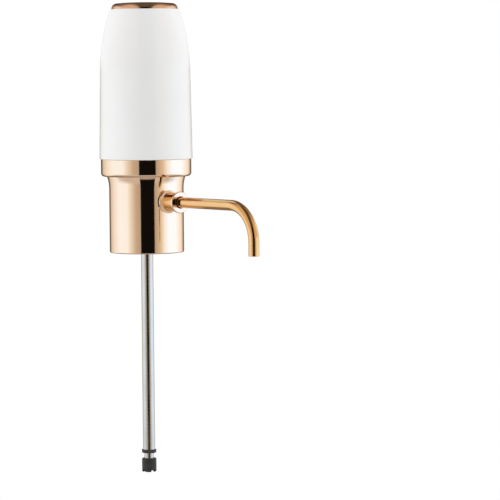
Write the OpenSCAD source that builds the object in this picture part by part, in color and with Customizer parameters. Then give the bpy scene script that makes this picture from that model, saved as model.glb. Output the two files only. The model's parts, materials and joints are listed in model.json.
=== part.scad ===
// Electric wine aerator that plugs into a bottle's mouth.
// A small diaphragm pump presses air into the bottle, so wine rises through the dip tube,
// takes up air in the manifold and leaves by the swivelling spout.
// Frame: origin at the centre of the face that rests on the bottle's rim, +Z up, spout along +X.

/* [Housing] */
// Outside diameter of the housing at its lower edge
housing_d = 53.8; // [53:0.1:62]
// Height of the housing, from the collar to the rim round the button
housing_h = 86; // [80:0.5:110]
// Outside diameter of the rim round the button
rim_d = 40; // [38:0.1:44]
// Height of the curved shoulder below the rim
shoulder_h = 36; // [28:0.5:42]
// Loss of radius along the straight side, from the lower edge to the shoulder
side_draft = 0.9; // [0:0.05:1.1]
// Wall of the housing
housing_wall = 2; // [1.6:0.1:2.4]

/* [Button] */
// Width of the rim that shows round the button
rim_w = 0.6; // [0.5:0.05:1.2]
// Gap between the button and the well it sinks into
button_gap = 0.25; // [0.15:0.05:0.5]
// Height of the button's crown above the rim
button_rise = 4.2; // [3.8:0.1:6]
// Rounding of the button's upper edge
button_edge = 3.2; // [2:0.1:3.4]
// How much the top of the button is domed
button_dome = 0.8; // [0.3:0.1:1.2]
// Wall of the button
button_wall = 1.6; // [1.2:0.1:2]
// Travel of the button when it is pressed
button_travel = 0.8; // [0.4:0.1:1.2]
// Depth of the well below the rim
well_depth = 5; // [4.5:0.1:7]
// Thickness of the well's floor
well_floor_t = 2; // [1.6:0.1:3]
// Wire of the return spring
spring_wire_d = 0.8; // [0.6:0.1:1]
// Turns of the return spring
spring_turns = 4.5; // [3:0.5:5]

/* [Collar] */
// Outside diameter of the collar
collar_d = 52.2; // [51.6:0.1:53]
// Height of the collar
collar_h = 10.1; // [9:0.1:14]
// Rounding of the collar's lower edge
collar_edge = 3; // [1:0.1:3.4]
// Wall of the collar
collar_wall = 1.8; // [1.4:0.1:2]
// Thickness of the collar's inner web
web_t = 2.4; // [1.8:0.1:3]

/* [Sleeve] */
// Outside diameter of the sleeve round the bottle's neck
sleeve_d = 43; // [42:0.1:46]
// Wall of the sleeve
sleeve_wall = 1.4; // [1:0.1:1.8]
// Length of the sleeve below the bottle's rim
sleeve_drop = 21; // [18:0.5:30]
// Length of the sleeve above the bottle's rim
sleeve_rise = 23; // [22.4:0.1:28]
// Height of the flare under the collar
flare_h = 7; // [4:0.1:7.1]
// Width that the flare adds to the radius
flare_w = 1.2; // [0.6:0.1:1.6]
// Thickness of the sleeve's inner lip
lip_t = 2; // [1.6:0.1:3]
// Width of the sleeve's inner lip
lip_w = 5.6; // [5:0.1:6.5]

/* [Spout] */
// Height of the spout's axis above the bottle's rim
spout_z = 8.8; // [7.6:0.1:8.9]
// Outside diameter of the spout's tube
spout_d = 6; // [5:0.1:6.4]
// Wall of the spout's tube
spout_wall = 0.5; // [0.3:0.05:0.7]
// Distance from the bottle's axis to the start of the bend
spout_run = 80; // [50:0.5:100]
// Bend radius at the middle of the tube
bend_r = 20; // [12:0.5:24]
// Length of the spout's last stretch
spout_leg = 7.5; // [4:0.5:40]
// Outside diameter of the spout's socket
socket_d = 12.4; // [12:0.1:13]
// Diameter of the flange that seats the socket on the sleeve
socket_flange_d = 14.2; // [13.2:0.1:14.4]
// Distance from the sleeve's face to the front of that flange
socket_flange_t = 1.1; // [0.8:0.1:1.6]
// Length of the socket in front of its flange
socket_barrel = 10.4; // [5.6:0.1:14]
// Diameter of the socket's stem in the manifold
stem_d = 8.6; // [8.4:0.1:9]

/* [Stopper] */
// Diameter of the plug's sealing land, for the bore of a bottle's mouth
plug_d = 18.6; // [18:0.1:19.4]
// Length of the plug below the bottle's rim
plug_h = 14; // [13:0.5:16]
// Length of the straight sealing land
land_h = 7; // [5:0.5:8]
// Diameter of the flange that rests on the bottle's rim
stopper_flange_d = 34; // [31:0.5:38]
// Thickness of that flange
stopper_flange_t = 3; // [2:0.1:3.2]

/* [Dip tube] */
// Outside diameter of the upper dip tube
dip_d = 7; // [6.6:0.1:7.2]
// Wall of both dip tubes
dip_wall = 0.4; // [0.3:0.05:0.5]
// Depth of the upper tube's end below the bottle's rim
dip_depth = 136; // [100:1:150]
// Length of the upper tube inside the manifold's spigot
dip_grip = 10; // [7:0.5:11]
// Length of the upper tube left free above the lower tube when that is slid in
dip_spare = 10.8; // [4:0.1:60]
// Height of the foot on the lower tube
foot_h = 8; // [6:0.5:12]

/* [Pump] */
// Diameter of the pump and its motor
pump_d = 24.4; // [23:0.1:25]
// Distance of the pump's axis behind the bottle's axis
pump_offset = 6; // [5.8:0.1:6.2]
// Thickness of the pump's head
head_t = 4; // [3.4:0.1:5]
// Thickness of the valve plate
plate_t = 2.2; // [1.8:0.1:3]
// Thickness of the diaphragm's sheet
sheet_t = 1.2; // [0.8:0.1:1.6]
// Height of the diaphragm's cups
cup_h = 2.4; // [1.8:0.1:3]
// Tilt of the crank pin, in degrees
wobble = 6; // [3:0.5:7]
// Height of the crank wheel
crank_h = 6.2; // [5.6:0.1:8]
// Diameter of the outlet nipple and of the manifold's nipple
nipple_d = 4; // [3.4:0.1:4.4]

/* [Motor] */
// Length of the motor's can
can_h = 27; // [22:0.5:32]
// Diameter of the motor's shaft and of the crank pin
shaft_d = 2; // [1.5:0.1:2.2]

/* [Battery and boards] */
// Diameter of the battery cell
cell_d = 14.2; // [13.6:0.1:14.6]
// Length of the battery cell
cell_h = 50; // [40:0.5:54]
// Thickness of the circuit boards
board_t = 1.2; // [0.8:0.1:1.6]
// Width of the main board
board_w = 18; // [16:0.5:19]
// Height of the main board
board_h = 44; // [34:0.5:48]
// Height of the charging port above the deck
port_rise = 19.6; // [16:0.2:24]

/* [Fits] */
// Gap between fixed parts that locate each other
fit_gap = 0.15; // [0.1:0.01:0.2]
// Gap of running fits
run_gap = 0.05; // [0.03:0.01:0.08]
// Gap of pressed and screwed fits
tight_gap = 0.01; // [0.005:0.005:0.02]
// Gap between moving parts that pass each other
pass_gap = 0.4; // [0.3:0.05:0.6]

/* [Hidden] */
$fn = 96;

// Finishes
shell_white = "#f5f5f3";
rose_gold = "#d8a68c";
spout_gold = "#dba871";
inner_plastic = "#3c4046";
pale_plastic = "#e6e4dc";
silicone = "#d9dcdd";
steel = "#c3c6c9";
brass = "#c9a24d";
board_green = "#1f6a43";
rubber_black = "#26282a";

// Cuts run past the faces they open by this much
over = 1;

// Heights of the outer shells
collar_z0 = sleeve_rise;
collar_z1 = collar_z0 + collar_h;
rim_z = collar_z1 + housing_h;
shoulder_z = rim_z - shoulder_h;

// Housing: a drafted side and a shoulder arc tangent to the upright
housing_r = housing_d / 2;
rim_r = rim_d / 2;
shoulder_r = housing_r - side_draft;
shoulder_in = shoulder_r - rim_r;
shoulder_arc_r = (shoulder_h * shoulder_h + shoulder_in * shoulder_in) / (2 * shoulder_in);
function side_r(z) = housing_r - side_draft * (z - collar_z1) / (shoulder_z - collar_z1);

// Button, its well and its hooks
well_r = rim_r - rim_w;
button_r = well_r - button_gap;
floor_z1 = rim_z - well_depth;
floor_z0 = floor_z1 - well_floor_t;
stop_gap = 0.2;
button_z0 = floor_z1 + button_travel + stop_gap;
button_z1 = rim_z + button_rise;
dome_r = (button_r * button_r + button_dome * button_dome) / (2 * button_dome);
dome_z = button_z1 - dome_r;
edge_x = button_r - button_edge;
edge_z = dome_z + sqrt(pow(dome_r - button_edge, 2) - pow(edge_x, 2));
crown_z0 = button_z1 - button_dome - button_wall;
stem_r = 3;
stem_hole_r = stem_r + pass_gap;
hook_t = 1.4;
hook_w = 4;
hook_x = button_r - button_wall - hook_t - pass_gap;
barb_out = 0.9;
barb_h = 1.6;
hook_angles = [30, 150, 270];
spring_wire_r = spring_wire_d / 2;
spring_r = stem_hole_r + spring_wire_d + pass_gap;

// Switch board under the well
plunger_r = 1.7;
switch_w = 6;
switch_h = 3.4;
stem_z0 = floor_z0 - button_travel - stop_gap;
plunger_out = button_travel + pass_gap;
switch_z1 = stem_z0 - plunger_out;
switch_z0 = switch_z1 - switch_h;
switch_board_r = 16.5;
post_r = 2.6;
post_x = 12.6;
post_angles = [90, 210, 330];

// Small screws: boards and motor
small_screw_r = 0.9;
small_head_r = 1.7;
small_head_t = 1.3;
board_screw_h = 5;

// Collar and sleeve
collar_r = collar_d / 2;
collar_in = collar_r - collar_wall;
sleeve_r = sleeve_d / 2;
sleeve_in = sleeve_r - sleeve_wall;
sleeve_edge = sleeve_wall / 2;
lip_z = sleeve_rise - lip_t;
lip_in = sleeve_in - lip_w;
flare_arc_r = (flare_h * flare_h + flare_w * flare_w) / (2 * flare_w);

// Chassis inside the collar and the housing's lower end
base_t = 3.4;
base_z0 = collar_z0 + web_t;
deck_z = base_z0 + base_t;
neck_h = 6;
neck_z1 = collar_z1 + neck_h;
neck_wall = 1.8;
neck_r = side_r(neck_z1) - housing_wall - fit_gap;
skirt_r = collar_in - fit_gap;
bead_r = 0.5;
bead_z = collar_z1 + neck_h / 2;
cradle_wall = 1.3;
cradle_h = 36;
cradle_window_w = 13;

// Screws that clamp chassis, collar, sleeve and manifold together
frame_screw_r = 1.1;
frame_head_r = 1.9;
frame_head_t = 1.6;
frame_head_sink = 1.8;
frame_screw_grip = 7;
frame_screw_x = (sleeve_in + lip_in) / 2;
frame_screw_angles = [30, 150, 270];
frame_screw_z1 = deck_z - frame_head_sink;

// Manifold
manifold_r = sleeve_in - fit_gap;
manifold_z0 = stopper_flange_t;
spigot_r = plug_d / 2 - 1.7;
spigot_z0 = 1 - plug_h;
riser_r = 2.5;
air_bore_r = 0.8;
mix_bore_r = 0.5;
stem_out_r = stem_d / 2;
stem_x0 = 11.6;
pocket_z = spout_z + stem_out_r + 0.6;
nipple_r = nipple_d / 2;
hose_wall = 1.2;
hose_r = nipple_r + hose_wall;
pocket_r = hose_r + 1.8;
nipple_gap = 4.8;
pump_nipple_h = 5;
nipple_z1 = deck_z - pump_nipple_h - nipple_gap;

// Spout and socket
spout_r = spout_d / 2;
spout_bore_r = spout_r - spout_wall;
flange_x = sleeve_r + socket_flange_t;
socket_x1 = flange_x + socket_barrel;
socket_bore_r = spout_r + run_gap;
spout_x0 = stem_x0 + 1.6;
seal_wire_r = 0.45;
seal_groove_w = 1.3;
spout_seal_x = flange_x + 2.2;
socket_seal_x = stem_x0 + 2.4;
mouth_out = 1.3;
mouth_depth = 1.5;
socket_chamfer = 0.5;

// Stopper
plug_r = plug_d / 2;
rib_h = 1.6;
rib_step = 0.25;
rib_groove = 0.7;

// Dip tube
dip_r = dip_d / 2;
dip_in = dip_r - dip_wall;
dip_z0 = -dip_depth;
dip_z1 = spigot_z0 + dip_grip;
bush_wall = 0.3;
bush_grip = 8;
bush_flange_t = 2;
bush_flange_r = dip_r + 0.7;
lower_r = dip_in - bush_wall - run_gap;
lower_in = lower_r - dip_wall;
bead_h = 2;
stop_bead_r = dip_in - run_gap;
bush_z1 = dip_z0 + bush_grip;
lower_z1 = dip_z1 - dip_spare;
foot_r = bush_flange_r;
foot_gap = 3;
foot_z1 = dip_z0 - bush_flange_t - foot_gap;
foot_z0 = foot_z1 - foot_h;
foot_wall = 0.9;
foot_grip = foot_h - 3;

// Pump stack, from the deck up
pump_r = pump_d / 2;
pump_y = -pump_offset;
head_z1 = deck_z + head_t;
plate_z1 = head_z1 + plate_t;
sheet_z1 = plate_z1 + sheet_t;
sheet_r = pump_r - 0.4;
cup_r = 3.2;
cup_wall = 0.7;
cup_x = pump_r / 2;
cup_angles = [90, 210, 330];
cup_stem_r = 0.8;
outlet_hole_x = 3;
inlet_hole_x = cup_x + 1.6;
valve_hole_r = 0.6;
flap_r = 1.5;
flap_t = 0.4;
pump_screw_r = 0.8;
pump_screw_x = pump_r - 2;
pump_screw_angles = [30, 150, 270];
pump_head_r = 1.5;
pump_head_t = 1.2;
pump_screw_grip = 6;
boss_r = 1.7;
cavity_r = pump_r - 1.8;
arm_t = 1.6;
arm_pad_r = 2.4;
arm_reach = cup_x + arm_pad_r;
arm_hole_r = cup_stem_r + 0.6;
pivot_z = sheet_z1 + cup_h + pass_gap + arm_reach * sin(wobble) + arm_t / 2;
hub_r = shaft_d / 2 + 1.8;
hub_h = 4;
crank_r = cavity_r / 2 + 0.6;
crank_z0 = pivot_z + hub_h + hub_r * sin(wobble) + pass_gap;
crank_z1 = crank_z0 + crank_h;
pin_grip = 2.8;
pin_r = shaft_d / 2;
body_wall_t = 2.4;
body_roof_z = crank_z1 + pass_gap;
motor_z0 = body_roof_z + body_wall_t;
motor_screw_x = cavity_r - small_head_r - 0.3;
motor_screw_grip = 3;

// Motor
shaft_r = shaft_d / 2;
shaft_z0 = crank_z0 + pin_grip + pass_gap;
motor_z1 = motor_z0 + can_h;
can_wall = 1;
can_front_t = 4;
can_in = pump_r - can_wall;
motor_boss_r = shaft_r + 2;
motor_boss_h = 1.6;
magnet_t = 2;
rotor_r = can_in - magnet_t - pass_gap;
rotor_z0 = motor_z0 + can_front_t + 2;
rotor_room = 9;
rotor_h = can_h - can_front_t - rotor_room;
rotor_slot_w = 2.2;
commutator_r = shaft_r + 1.6;
commutator_h = 4;
end_cap_t = 3;
terminal_h = 4;
terminal_in = 4;
terminal_x = pump_r - terminal_in;

// Battery cell beside the pump
cell_r = cell_d / 2;
cradle_r = pump_r + fit_gap + cradle_wall;
cell_y = pump_y + cradle_r + fit_gap + cell_r;
cell_nub_r = 2.6;
cell_nub_h = 1;

// Charging port and main board at the back
port_w = 8.9;
port_h = 3.2;
port_shell = 0.3;
port_len = 5.6;
port_recess = 1;
port_z = deck_z + port_rise;
port_x = -(side_r(port_z) - port_recess);
board_x = port_x + port_len;
port_hole_gap = 0.35;
port_dish = 1.6;
port_dish_depth = 0.7;
tongue_t = 0.7;
rail_w = 3;
rail_depth = 3.6;
rail_h = 26;
groove_depth = 1.2;

// Turns its children to each angle in a ring of the given radius about the Z axis
module ring_of(angles, radius) {
    for (a = angles) rotate(a) translate([radius, 0, 0]) children();
}

// Puts its children on the pump's axis
module at_pump() {
    translate([0, pump_y, 0]) children();
}

// Lays an upright shape along +X at the spout's height
module along_spout() {
    translate([0, 0, spout_z]) rotate([0, 90, 0]) children();
}

// Upright cylinder between two heights
module post(r, z0, z1) {
    translate([0, 0, z0]) cylinder(r = r, h = z1 - z0);
}

// Upright pipe between two heights
module pipe(r_out, r_in, z0, z1) {
    difference() {
        post(r_out, z0, z1);
        post(r_in, z0 - over, z1 + over);
    }
}

// Round ring of wire, centred on a height
module wire_ring(ring_r, wire_r, z) {
    rotate_extrude() translate([ring_r, z]) circle(r = wire_r, $fn = 32);
}

// Screw with a flat round head, whose head rests on the height z1 and whose shank goes down from it
module screw_down(shank_r, head_r, head_t, grip, z1) {
    post(head_r, z1, z1 + head_t);
    post(shank_r, z1 - grip, z1);
}

// Slot outline with round ends
module slot_outline(w, h) {
    square([w - h, h], center = true);
    for (side = [-1, 1]) translate([side * (w - h) / 2, 0]) circle(d = h, $fn = 32);
}

// Half outline of the housing's outside, drawn in by the inset and cut off at a height
module housing_half(inset, z_top) {
    polygon([
        [0, collar_z1],
        [housing_r - inset, collar_z1],
        [shoulder_r - inset, shoulder_z],
        [0, shoulder_z]
    ]);
    intersection() {
        translate([shoulder_r - shoulder_arc_r, shoulder_z]) circle(r = shoulder_arc_r - inset, $fn = 360);
        translate([0, shoulder_z]) square([housing_r, z_top - shoulder_z]);
    }
}

// White moulded shell with the button's well, the charging port's opening and posts for the switch board
module upper_housing() {
    color(shell_white) difference() {
        union() {
            rotate_extrude() difference() {
                housing_half(0, rim_z);
                housing_half(housing_wall, floor_z0);
                translate([0, floor_z1]) square([well_r, well_depth + over]);
            }
            ring_of(post_angles, post_x) post(post_r, switch_z0, floor_z0 + well_floor_t / 2);
        }
        post(stem_hole_r, floor_z0 - over, floor_z1 + over);
        ring_of(hook_angles, hook_x + hook_t / 2) translate([0, 0, floor_z0 - over])
            linear_extrude(well_floor_t + 2 * over)
                square([hook_t + 2 * pass_gap, hook_w + 2 * pass_gap], center = true);
        ring_of(post_angles, post_x) post(small_screw_r + tight_gap, switch_z0 - over, switch_z0 + board_screw_h);
        wire_ring(neck_r, bead_r + fit_gap, bead_z);
        translate([0, 0, port_z]) rotate([0, -90, 0]) rotate(90) {
            linear_extrude(housing_r + over)
                slot_outline(port_w + 2 * port_hole_gap, port_h + 2 * port_hole_gap);
            translate([0, 0, side_r(port_z) - port_dish_depth]) linear_extrude(housing_wall + over)
                slot_outline(port_w + 2 * port_dish, port_h + 2 * port_dish);
        }
    }
}

// Half outline of the button's outside: upright side, rounded edge and domed top
module button_half() {
    reach = button_edge + over;
    lean = (dome_r - button_edge);
    translate([0, button_z0]) square([button_r, edge_z - button_z0]);
    translate([edge_x, edge_z]) circle(r = button_edge, $fn = 64);
    intersection() {
        translate([0, dome_z]) circle(r = dome_r, $fn = 720);
        polygon([
            [0, button_z0],
            [edge_x, button_z0],
            [edge_x, edge_z],
            [edge_x + reach * edge_x / lean, edge_z + reach * (edge_z - dome_z) / lean],
            [0, button_z1 + over]
        ]);
    }
}

// Domed one-touch button with a pressing stem and three snap hooks
module button_cap() {
    barb_z1 = floor_z0 - tight_gap;
    color(rose_gold) {
        rotate_extrude() difference() {
            button_half();
            translate([0, button_z0 - over]) square([button_r - button_wall, crown_z0 - button_z0 + over]);
        }
        post(stem_r, stem_z0, crown_z0 + button_wall / 2);
        ring_of(hook_angles, hook_x) {
            translate([0, -hook_w / 2, barb_z1 - barb_h])
                cube([hook_t, hook_w, crown_z0 + button_wall / 2 - barb_z1 + barb_h]);
            translate([hook_t, hook_w / 2, barb_z1]) rotate([90, 0, 0]) linear_extrude(hook_w)
                polygon([[0, 0], [barb_out, 0], [0, -barb_h]]);
        }
    }
}

// Return spring wound round the stem, between the well's floor and the button
spring_z0 = floor_z1 + spring_wire_r + run_gap;
spring_z1 = crown_z0 - spring_wire_r - run_gap;
spring_steps = 8;
spring_sides = 6;
spring_rings = spring_turns * spring_steps;
spring_slope = atan((spring_z1 - spring_z0) / (spring_turns * 360 * spring_r * PI / 180));

function spring_point(i, j) =
    let (
        a = i * 360 / spring_steps,
        b = j * 360 / spring_sides,
        out = spring_r + spring_wire_r * cos(b),
        along = -spring_wire_r * sin(b) * sin(spring_slope),
        up = spring_wire_r * sin(b) * cos(spring_slope),
        z = spring_z0 + (spring_z1 - spring_z0) * i / spring_rings
    )
    [out * cos(a) - along * sin(a), out * sin(a) + along * cos(a), z + up];

module button_spring() {
    n = spring_sides;
    last = spring_rings * n;
    points = [for (i = [0 : spring_rings], j = [0 : n - 1]) spring_point(i, j)];
    sides = [
        for (i = [0 : spring_rings - 1], j = [0 : n - 1])
            let (k = (j + 1) % n)
            each [
                [i * n + j, (i + 1) * n + j, i * n + k],
                [i * n + k, (i + 1) * n + j, (i + 1) * n + k]
            ]
    ];
    ends = [for (j = [1 : n - 2]) each [[0, j, j + 1], [last, last + j + 1, last + j]]];
    color(steel) polyhedron(points = points, faces = concat(sides, ends));
}

// Round board that carries the switch, screwed to the housing's posts
module switch_board() {
    color(board_green) difference() {
        post(switch_board_r, switch_z0 - board_t, switch_z0);
        ring_of(post_angles, post_x) post(small_screw_r + fit_gap, switch_z0 - board_t - over, switch_z0 + over);
    }
}

// Screws that hold the switch board, driven from below
module board_screws() {
    color(steel) ring_of(post_angles, post_x) {
        post(small_head_r, switch_z0 - board_t - small_head_t, switch_z0 - board_t);
        post(small_screw_r, switch_z0 - board_t, switch_z0 + board_screw_h - pass_gap);
    }
}

// Body of the push switch
module tact_switch() {
    color(rubber_black) difference() {
        translate([-switch_w / 2, -switch_w / 2, switch_z0]) cube([switch_w, switch_w, switch_h]);
        post(plunger_r + run_gap, switch_z1 - plunger_out - pass_gap, switch_z1 + over);
    }
}

// Plunger of the push switch, which the button's stem presses
module switch_plunger() {
    color(pale_plastic) post(plunger_r, switch_z1 - stop_gap, stem_z0);
}

// Polished collar with an inner web that rests on the sleeve
module collar() {
    color(rose_gold) difference() {
        rotate_extrude() difference() {
            union() {
                translate([0, collar_z0]) square([collar_r - collar_edge, collar_h]);
                translate([0, collar_z0 + collar_edge]) square([collar_r, collar_h - collar_edge]);
                translate([collar_r - collar_edge, collar_z0 + collar_edge]) circle(r = collar_edge, $fn = 64);
            }
            translate([0, base_z0]) square([collar_in, collar_h]);
            translate([0, collar_z0 - over]) square([lip_in, web_t + 2 * over]);
        }
        ring_of(frame_screw_angles, frame_screw_x) post(frame_screw_r + fit_gap, collar_z0 - over, base_z0 + over);
    }
}

// Polished sleeve that drops over the bottle's neck, flared under the collar, with a rounded lower edge
module bottle_sleeve() {
    color(rose_gold) difference() {
        rotate_extrude() difference() {
            union() {
                translate([0, sleeve_edge - sleeve_drop])
                    square([sleeve_r + flare_w, sleeve_drop + sleeve_rise - sleeve_edge]);
                translate([sleeve_r - sleeve_edge, sleeve_edge - sleeve_drop]) circle(r = sleeve_edge, $fn = 48);
            }
            translate([sleeve_r, -sleeve_drop - over])
                square([flare_w + over, sleeve_drop + sleeve_rise - flare_h + over]);
            translate([sleeve_r + flare_arc_r, sleeve_rise - flare_h]) circle(r = flare_arc_r, $fn = 180);
            translate([0, -sleeve_drop - over]) square([sleeve_in, sleeve_drop + lip_z + over]);
            translate([0, lip_z - over]) square([lip_in, lip_t + 2 * over]);
        }
        ring_of(frame_screw_angles, frame_screw_x) post(frame_screw_r + fit_gap, lip_z - over, sleeve_rise + over);
        along_spout() post(stem_out_r + fit_gap, sleeve_in - over, sleeve_r + over);
    }
}

// Turned socket that holds the spout, with a flange shaped to the sleeve
module spout_socket() {
    color(rose_gold) difference() {
        union() {
            along_spout() {
                post(stem_out_r, stem_x0, sleeve_r);
                post(socket_d / 2, flange_x - tight_gap, socket_x1 - socket_chamfer);
                translate([0, 0, socket_x1 - socket_chamfer])
                    cylinder(r1 = socket_d / 2, r2 = socket_d / 2 - socket_chamfer, h = socket_chamfer);
            }
            difference() {
                along_spout() post(socket_flange_d / 2, stem_x0, flange_x);
                post(sleeve_r, -sleeve_drop, sleeve_rise);
            }
        }
        along_spout() {
            post(socket_bore_r, spout_x0, socket_x1 + over);
            post(riser_r, stem_x0 - over, spout_x0 + over);
            translate([0, 0, socket_x1 - mouth_depth])
                cylinder(r1 = socket_bore_r, r2 = socket_bore_r + mouth_out, h = mouth_depth);
            pipe(socket_bore_r + 2 * seal_wire_r, socket_bore_r - tight_gap,
                spout_seal_x - seal_groove_w / 2, spout_seal_x + seal_groove_w / 2);
            pipe(stem_out_r + over, stem_out_r - 2 * seal_wire_r,
                socket_seal_x - seal_groove_w / 2, socket_seal_x + seal_groove_w / 2);
        }
    }
}

// Ring that seals the socket's stem in the manifold
module socket_seal() {
    color(rubber_black) along_spout() wire_ring(stem_out_r - seal_wire_r, seal_wire_r - tight_gap, socket_seal_x);
}

// Ring that seals and grips the spout in its socket
module spout_seal() {
    color(rubber_black) along_spout()
        wire_ring(socket_bore_r + seal_wire_r, seal_wire_r - tight_gap, spout_seal_x);
}

// Tube bent to a right angle that pours, free to turn in its socket
module spout_tube() {
    start_x = spout_x0 + stop_gap;
    color(spout_gold) {
        along_spout() pipe(spout_r, spout_bore_r, start_x, spout_run);
        translate([spout_run, 0, spout_z - bend_r]) {
            rotate([90, 0, 0]) rotate_extrude(angle = 90)
                translate([bend_r, 0]) difference() {
                    circle(r = spout_r);
                    circle(r = spout_bore_r);
                }
            translate([bend_r, 0, 0]) pipe(spout_r, spout_bore_r, -spout_leg, 0);
        }
    }
}

// Moulded core that joins the dip tube, the spout's socket and the air line
module manifold() {
    color(pale_plastic) difference() {
        union() {
            difference() {
                post(manifold_r, manifold_z0, lip_z);
                at_pump() post(pocket_r, pocket_z, lip_z + over);
            }
            post(spigot_r, spigot_z0, manifold_z0 + over);
            at_pump() post(nipple_r, pocket_z - over, nipple_z1);
        }
        post(dip_r + tight_gap, spigot_z0 - over, dip_z1);
        post(riser_r, spigot_z0, spout_z + riser_r);
        along_spout() {
            post(riser_r, 0, stem_x0 + over);
            post(stem_out_r + tight_gap, stem_x0, manifold_r + over);
        }
        at_pump() post(air_bore_r, spigot_z0 - over, nipple_z1 + over);
        translate([0, pump_y, dip_z1 + riser_r]) rotate([-90, 0, 0]) cylinder(r = mix_bore_r, h = pump_offset);
        ring_of(frame_screw_angles, frame_screw_x)
            post(frame_screw_r + tight_gap, lip_z - frame_screw_grip, lip_z + over);
    }
}

// Screws from the chassis through the collar and the sleeve's lip into the manifold
module frame_screws() {
    color(steel) ring_of(frame_screw_angles, frame_screw_x)
        screw_down(frame_screw_r, frame_head_r, frame_head_t,
            frame_screw_z1 - lip_z + frame_screw_grip - pass_gap, frame_screw_z1);
}

// Soft stopper: a flange for the bottle's rim, a sealing land and smaller lead-in ribs
module bottle_stopper() {
    rib_z = [for (i = [1 : 2]) -land_h - i * (plug_h - land_h) / 2 + rib_h / 2];
    color(silicone) difference() {
        union() {
            post(stopper_flange_d / 2, 0, stopper_flange_t);
            post(plug_r, -land_h, over);
            post(plug_r - rib_groove, -plug_h, over);
            for (i = [0 : 1]) {
                rib_r = plug_r - (i + 1) * rib_step;
                translate([0, 0, rib_z[i] - rib_h / 2])
                    cylinder(r1 = plug_r - rib_groove, r2 = rib_r, h = rib_h / 2);
                post(rib_r, rib_z[i], rib_z[i] + rib_h / 2);
            }
        }
        post(spigot_r + tight_gap, -plug_h - over, stopper_flange_t + over);
    }
}

// Fixed upper stretch of the telescopic dip tube
module dip_tube_upper() {
    color(steel) pipe(dip_r, dip_in, dip_z0, dip_z1);
}

// Bush in the upper tube's end that guides and grips the lower tube
module dip_tube_bush() {
    color(rubber_black) difference() {
        union() {
            post(dip_in - tight_gap, dip_z0 - over, bush_z1);
            post(bush_flange_r, dip_z0 - bush_flange_t, dip_z0);
        }
        post(lower_r + run_gap, dip_z0 - bush_flange_t - over, bush_z1 + over);
    }
}

// Sliding lower stretch of the dip tube, with a bead that stops it from pulling out
module dip_tube_lower() {
    color(steel) difference() {
        union() {
            post(lower_r, foot_z1 - foot_grip, lower_z1);
            post(stop_bead_r, lower_z1 - bead_h, lower_z1);
        }
        post(lower_in, foot_z1 - foot_grip - over, lower_z1 + over);
    }
}

// Foot that keeps the tube's mouth off the bottle's floor and serves as a finger grip
module dip_tube_foot() {
    notch_w = lower_r;
    color(rubber_black) difference() {
        post(foot_r, foot_z0, foot_z1);
        post(lower_r + tight_gap, foot_z1 - foot_grip, foot_z1 + over);
        post(lower_in, foot_z0 - over, foot_z1);
        for (a = [0, 90]) rotate(a) translate([-foot_r - over, -notch_w / 2, foot_z0 - over])
            cube([2 * (foot_r + over), notch_w, over + (foot_h - foot_grip) / 2]);
    }
}

// Space that the chassis may fill inside the collar and the housing
module chassis_room() {
    post(skirt_r, base_z0, collar_z1);
    post(neck_r, collar_z1, deck_z + cradle_h);
}

// Inner frame: base on the collar's web, snap neck for the housing, cradles and board rails
module chassis() {
    color(inner_plastic) difference() {
        union() {
            intersection() {
                chassis_room();
                union() {
                    post(skirt_r, base_z0, deck_z);
                    difference() {
                        post(neck_r, base_z0, neck_z1);
                        post(skirt_r - neck_wall, deck_z, neck_z1 + over);
                    }
                    at_pump() post(cradle_r, base_z0, deck_z + cradle_h);
                    difference() {
                        translate([0, cell_y, 0]) post(cell_r + fit_gap + cradle_wall, base_z0, deck_z + cradle_h);
                        translate([-housing_r, -housing_r, deck_z])
                            cube([housing_d, housing_r + cell_y, cradle_h + over]);
                    }
                    for (side = [-1, 1])
                        translate([board_x + board_t / 2 - rail_depth / 2,
                                side * (board_w / 2 + fit_gap - groove_depth + rail_w / 2) - rail_w / 2, base_z0])
                            cube([rail_depth, rail_w, base_t + rail_h]);
                }
            }
            wire_ring(neck_r, bead_r, bead_z);
        }
        at_pump() {
            post(pump_r + fit_gap, deck_z, deck_z + cradle_h + over);
            post(hose_r + pass_gap, base_z0 - over, deck_z + over);
            translate([-cradle_r - over, -cradle_window_w / 2, deck_z + cradle_h / 3])
                cube([2 * (cradle_r + over), cradle_window_w, cradle_h / 2]);
        }
        translate([0, cell_y, 0]) post(cell_r + fit_gap, deck_z, deck_z + cradle_h + over);
        translate([board_x - fit_gap, -board_w / 2 - fit_gap, deck_z])
            cube([board_t + 2 * fit_gap, board_w + 2 * fit_gap, rail_h + over]);
        ring_of(frame_screw_angles, frame_screw_x) {
            post(frame_screw_r + fit_gap, base_z0 - over, deck_z);
            post(frame_head_r + fit_gap, frame_screw_z1, deck_z + over);
        }
    }
}

// Short hose from the pump's outlet to the manifold
module air_hose() {
    color(silicone) at_pump() pipe(hose_r, nipple_r + tight_gap, pocket_z + fit_gap, deck_z - fit_gap);
}

// Duckbill valve in the hose that keeps wine out of the pump
module check_valve() {
    valve_r = nipple_r - tight_gap;
    valve_z0 = nipple_z1 + fit_gap;
    bill_h = 2.4;
    rim_h = 1.6;
    slit_w = 0.2;
    color(rubber_black) at_pump() translate([0, 0, valve_z0]) difference() {
        union() {
            translate([0, 0, bill_h]) cylinder(r = valve_r, h = rim_h);
            intersection() {
                cylinder(r = valve_r - 0.4, h = bill_h + rim_h);
                rotate([90, 0, 0]) linear_extrude(2 * valve_r, center = true)
                    polygon([[-0.4, 0], [0.4, 0], [valve_r, bill_h], [-valve_r, bill_h]]);
            }
        }
        translate([0, 0, bill_h]) cylinder(r = valve_r / 2, h = rim_h + over);
        translate([-slit_w / 2, -valve_r / 2, -over]) cube([slit_w, valve_r, bill_h + over]);
    }
}

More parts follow.
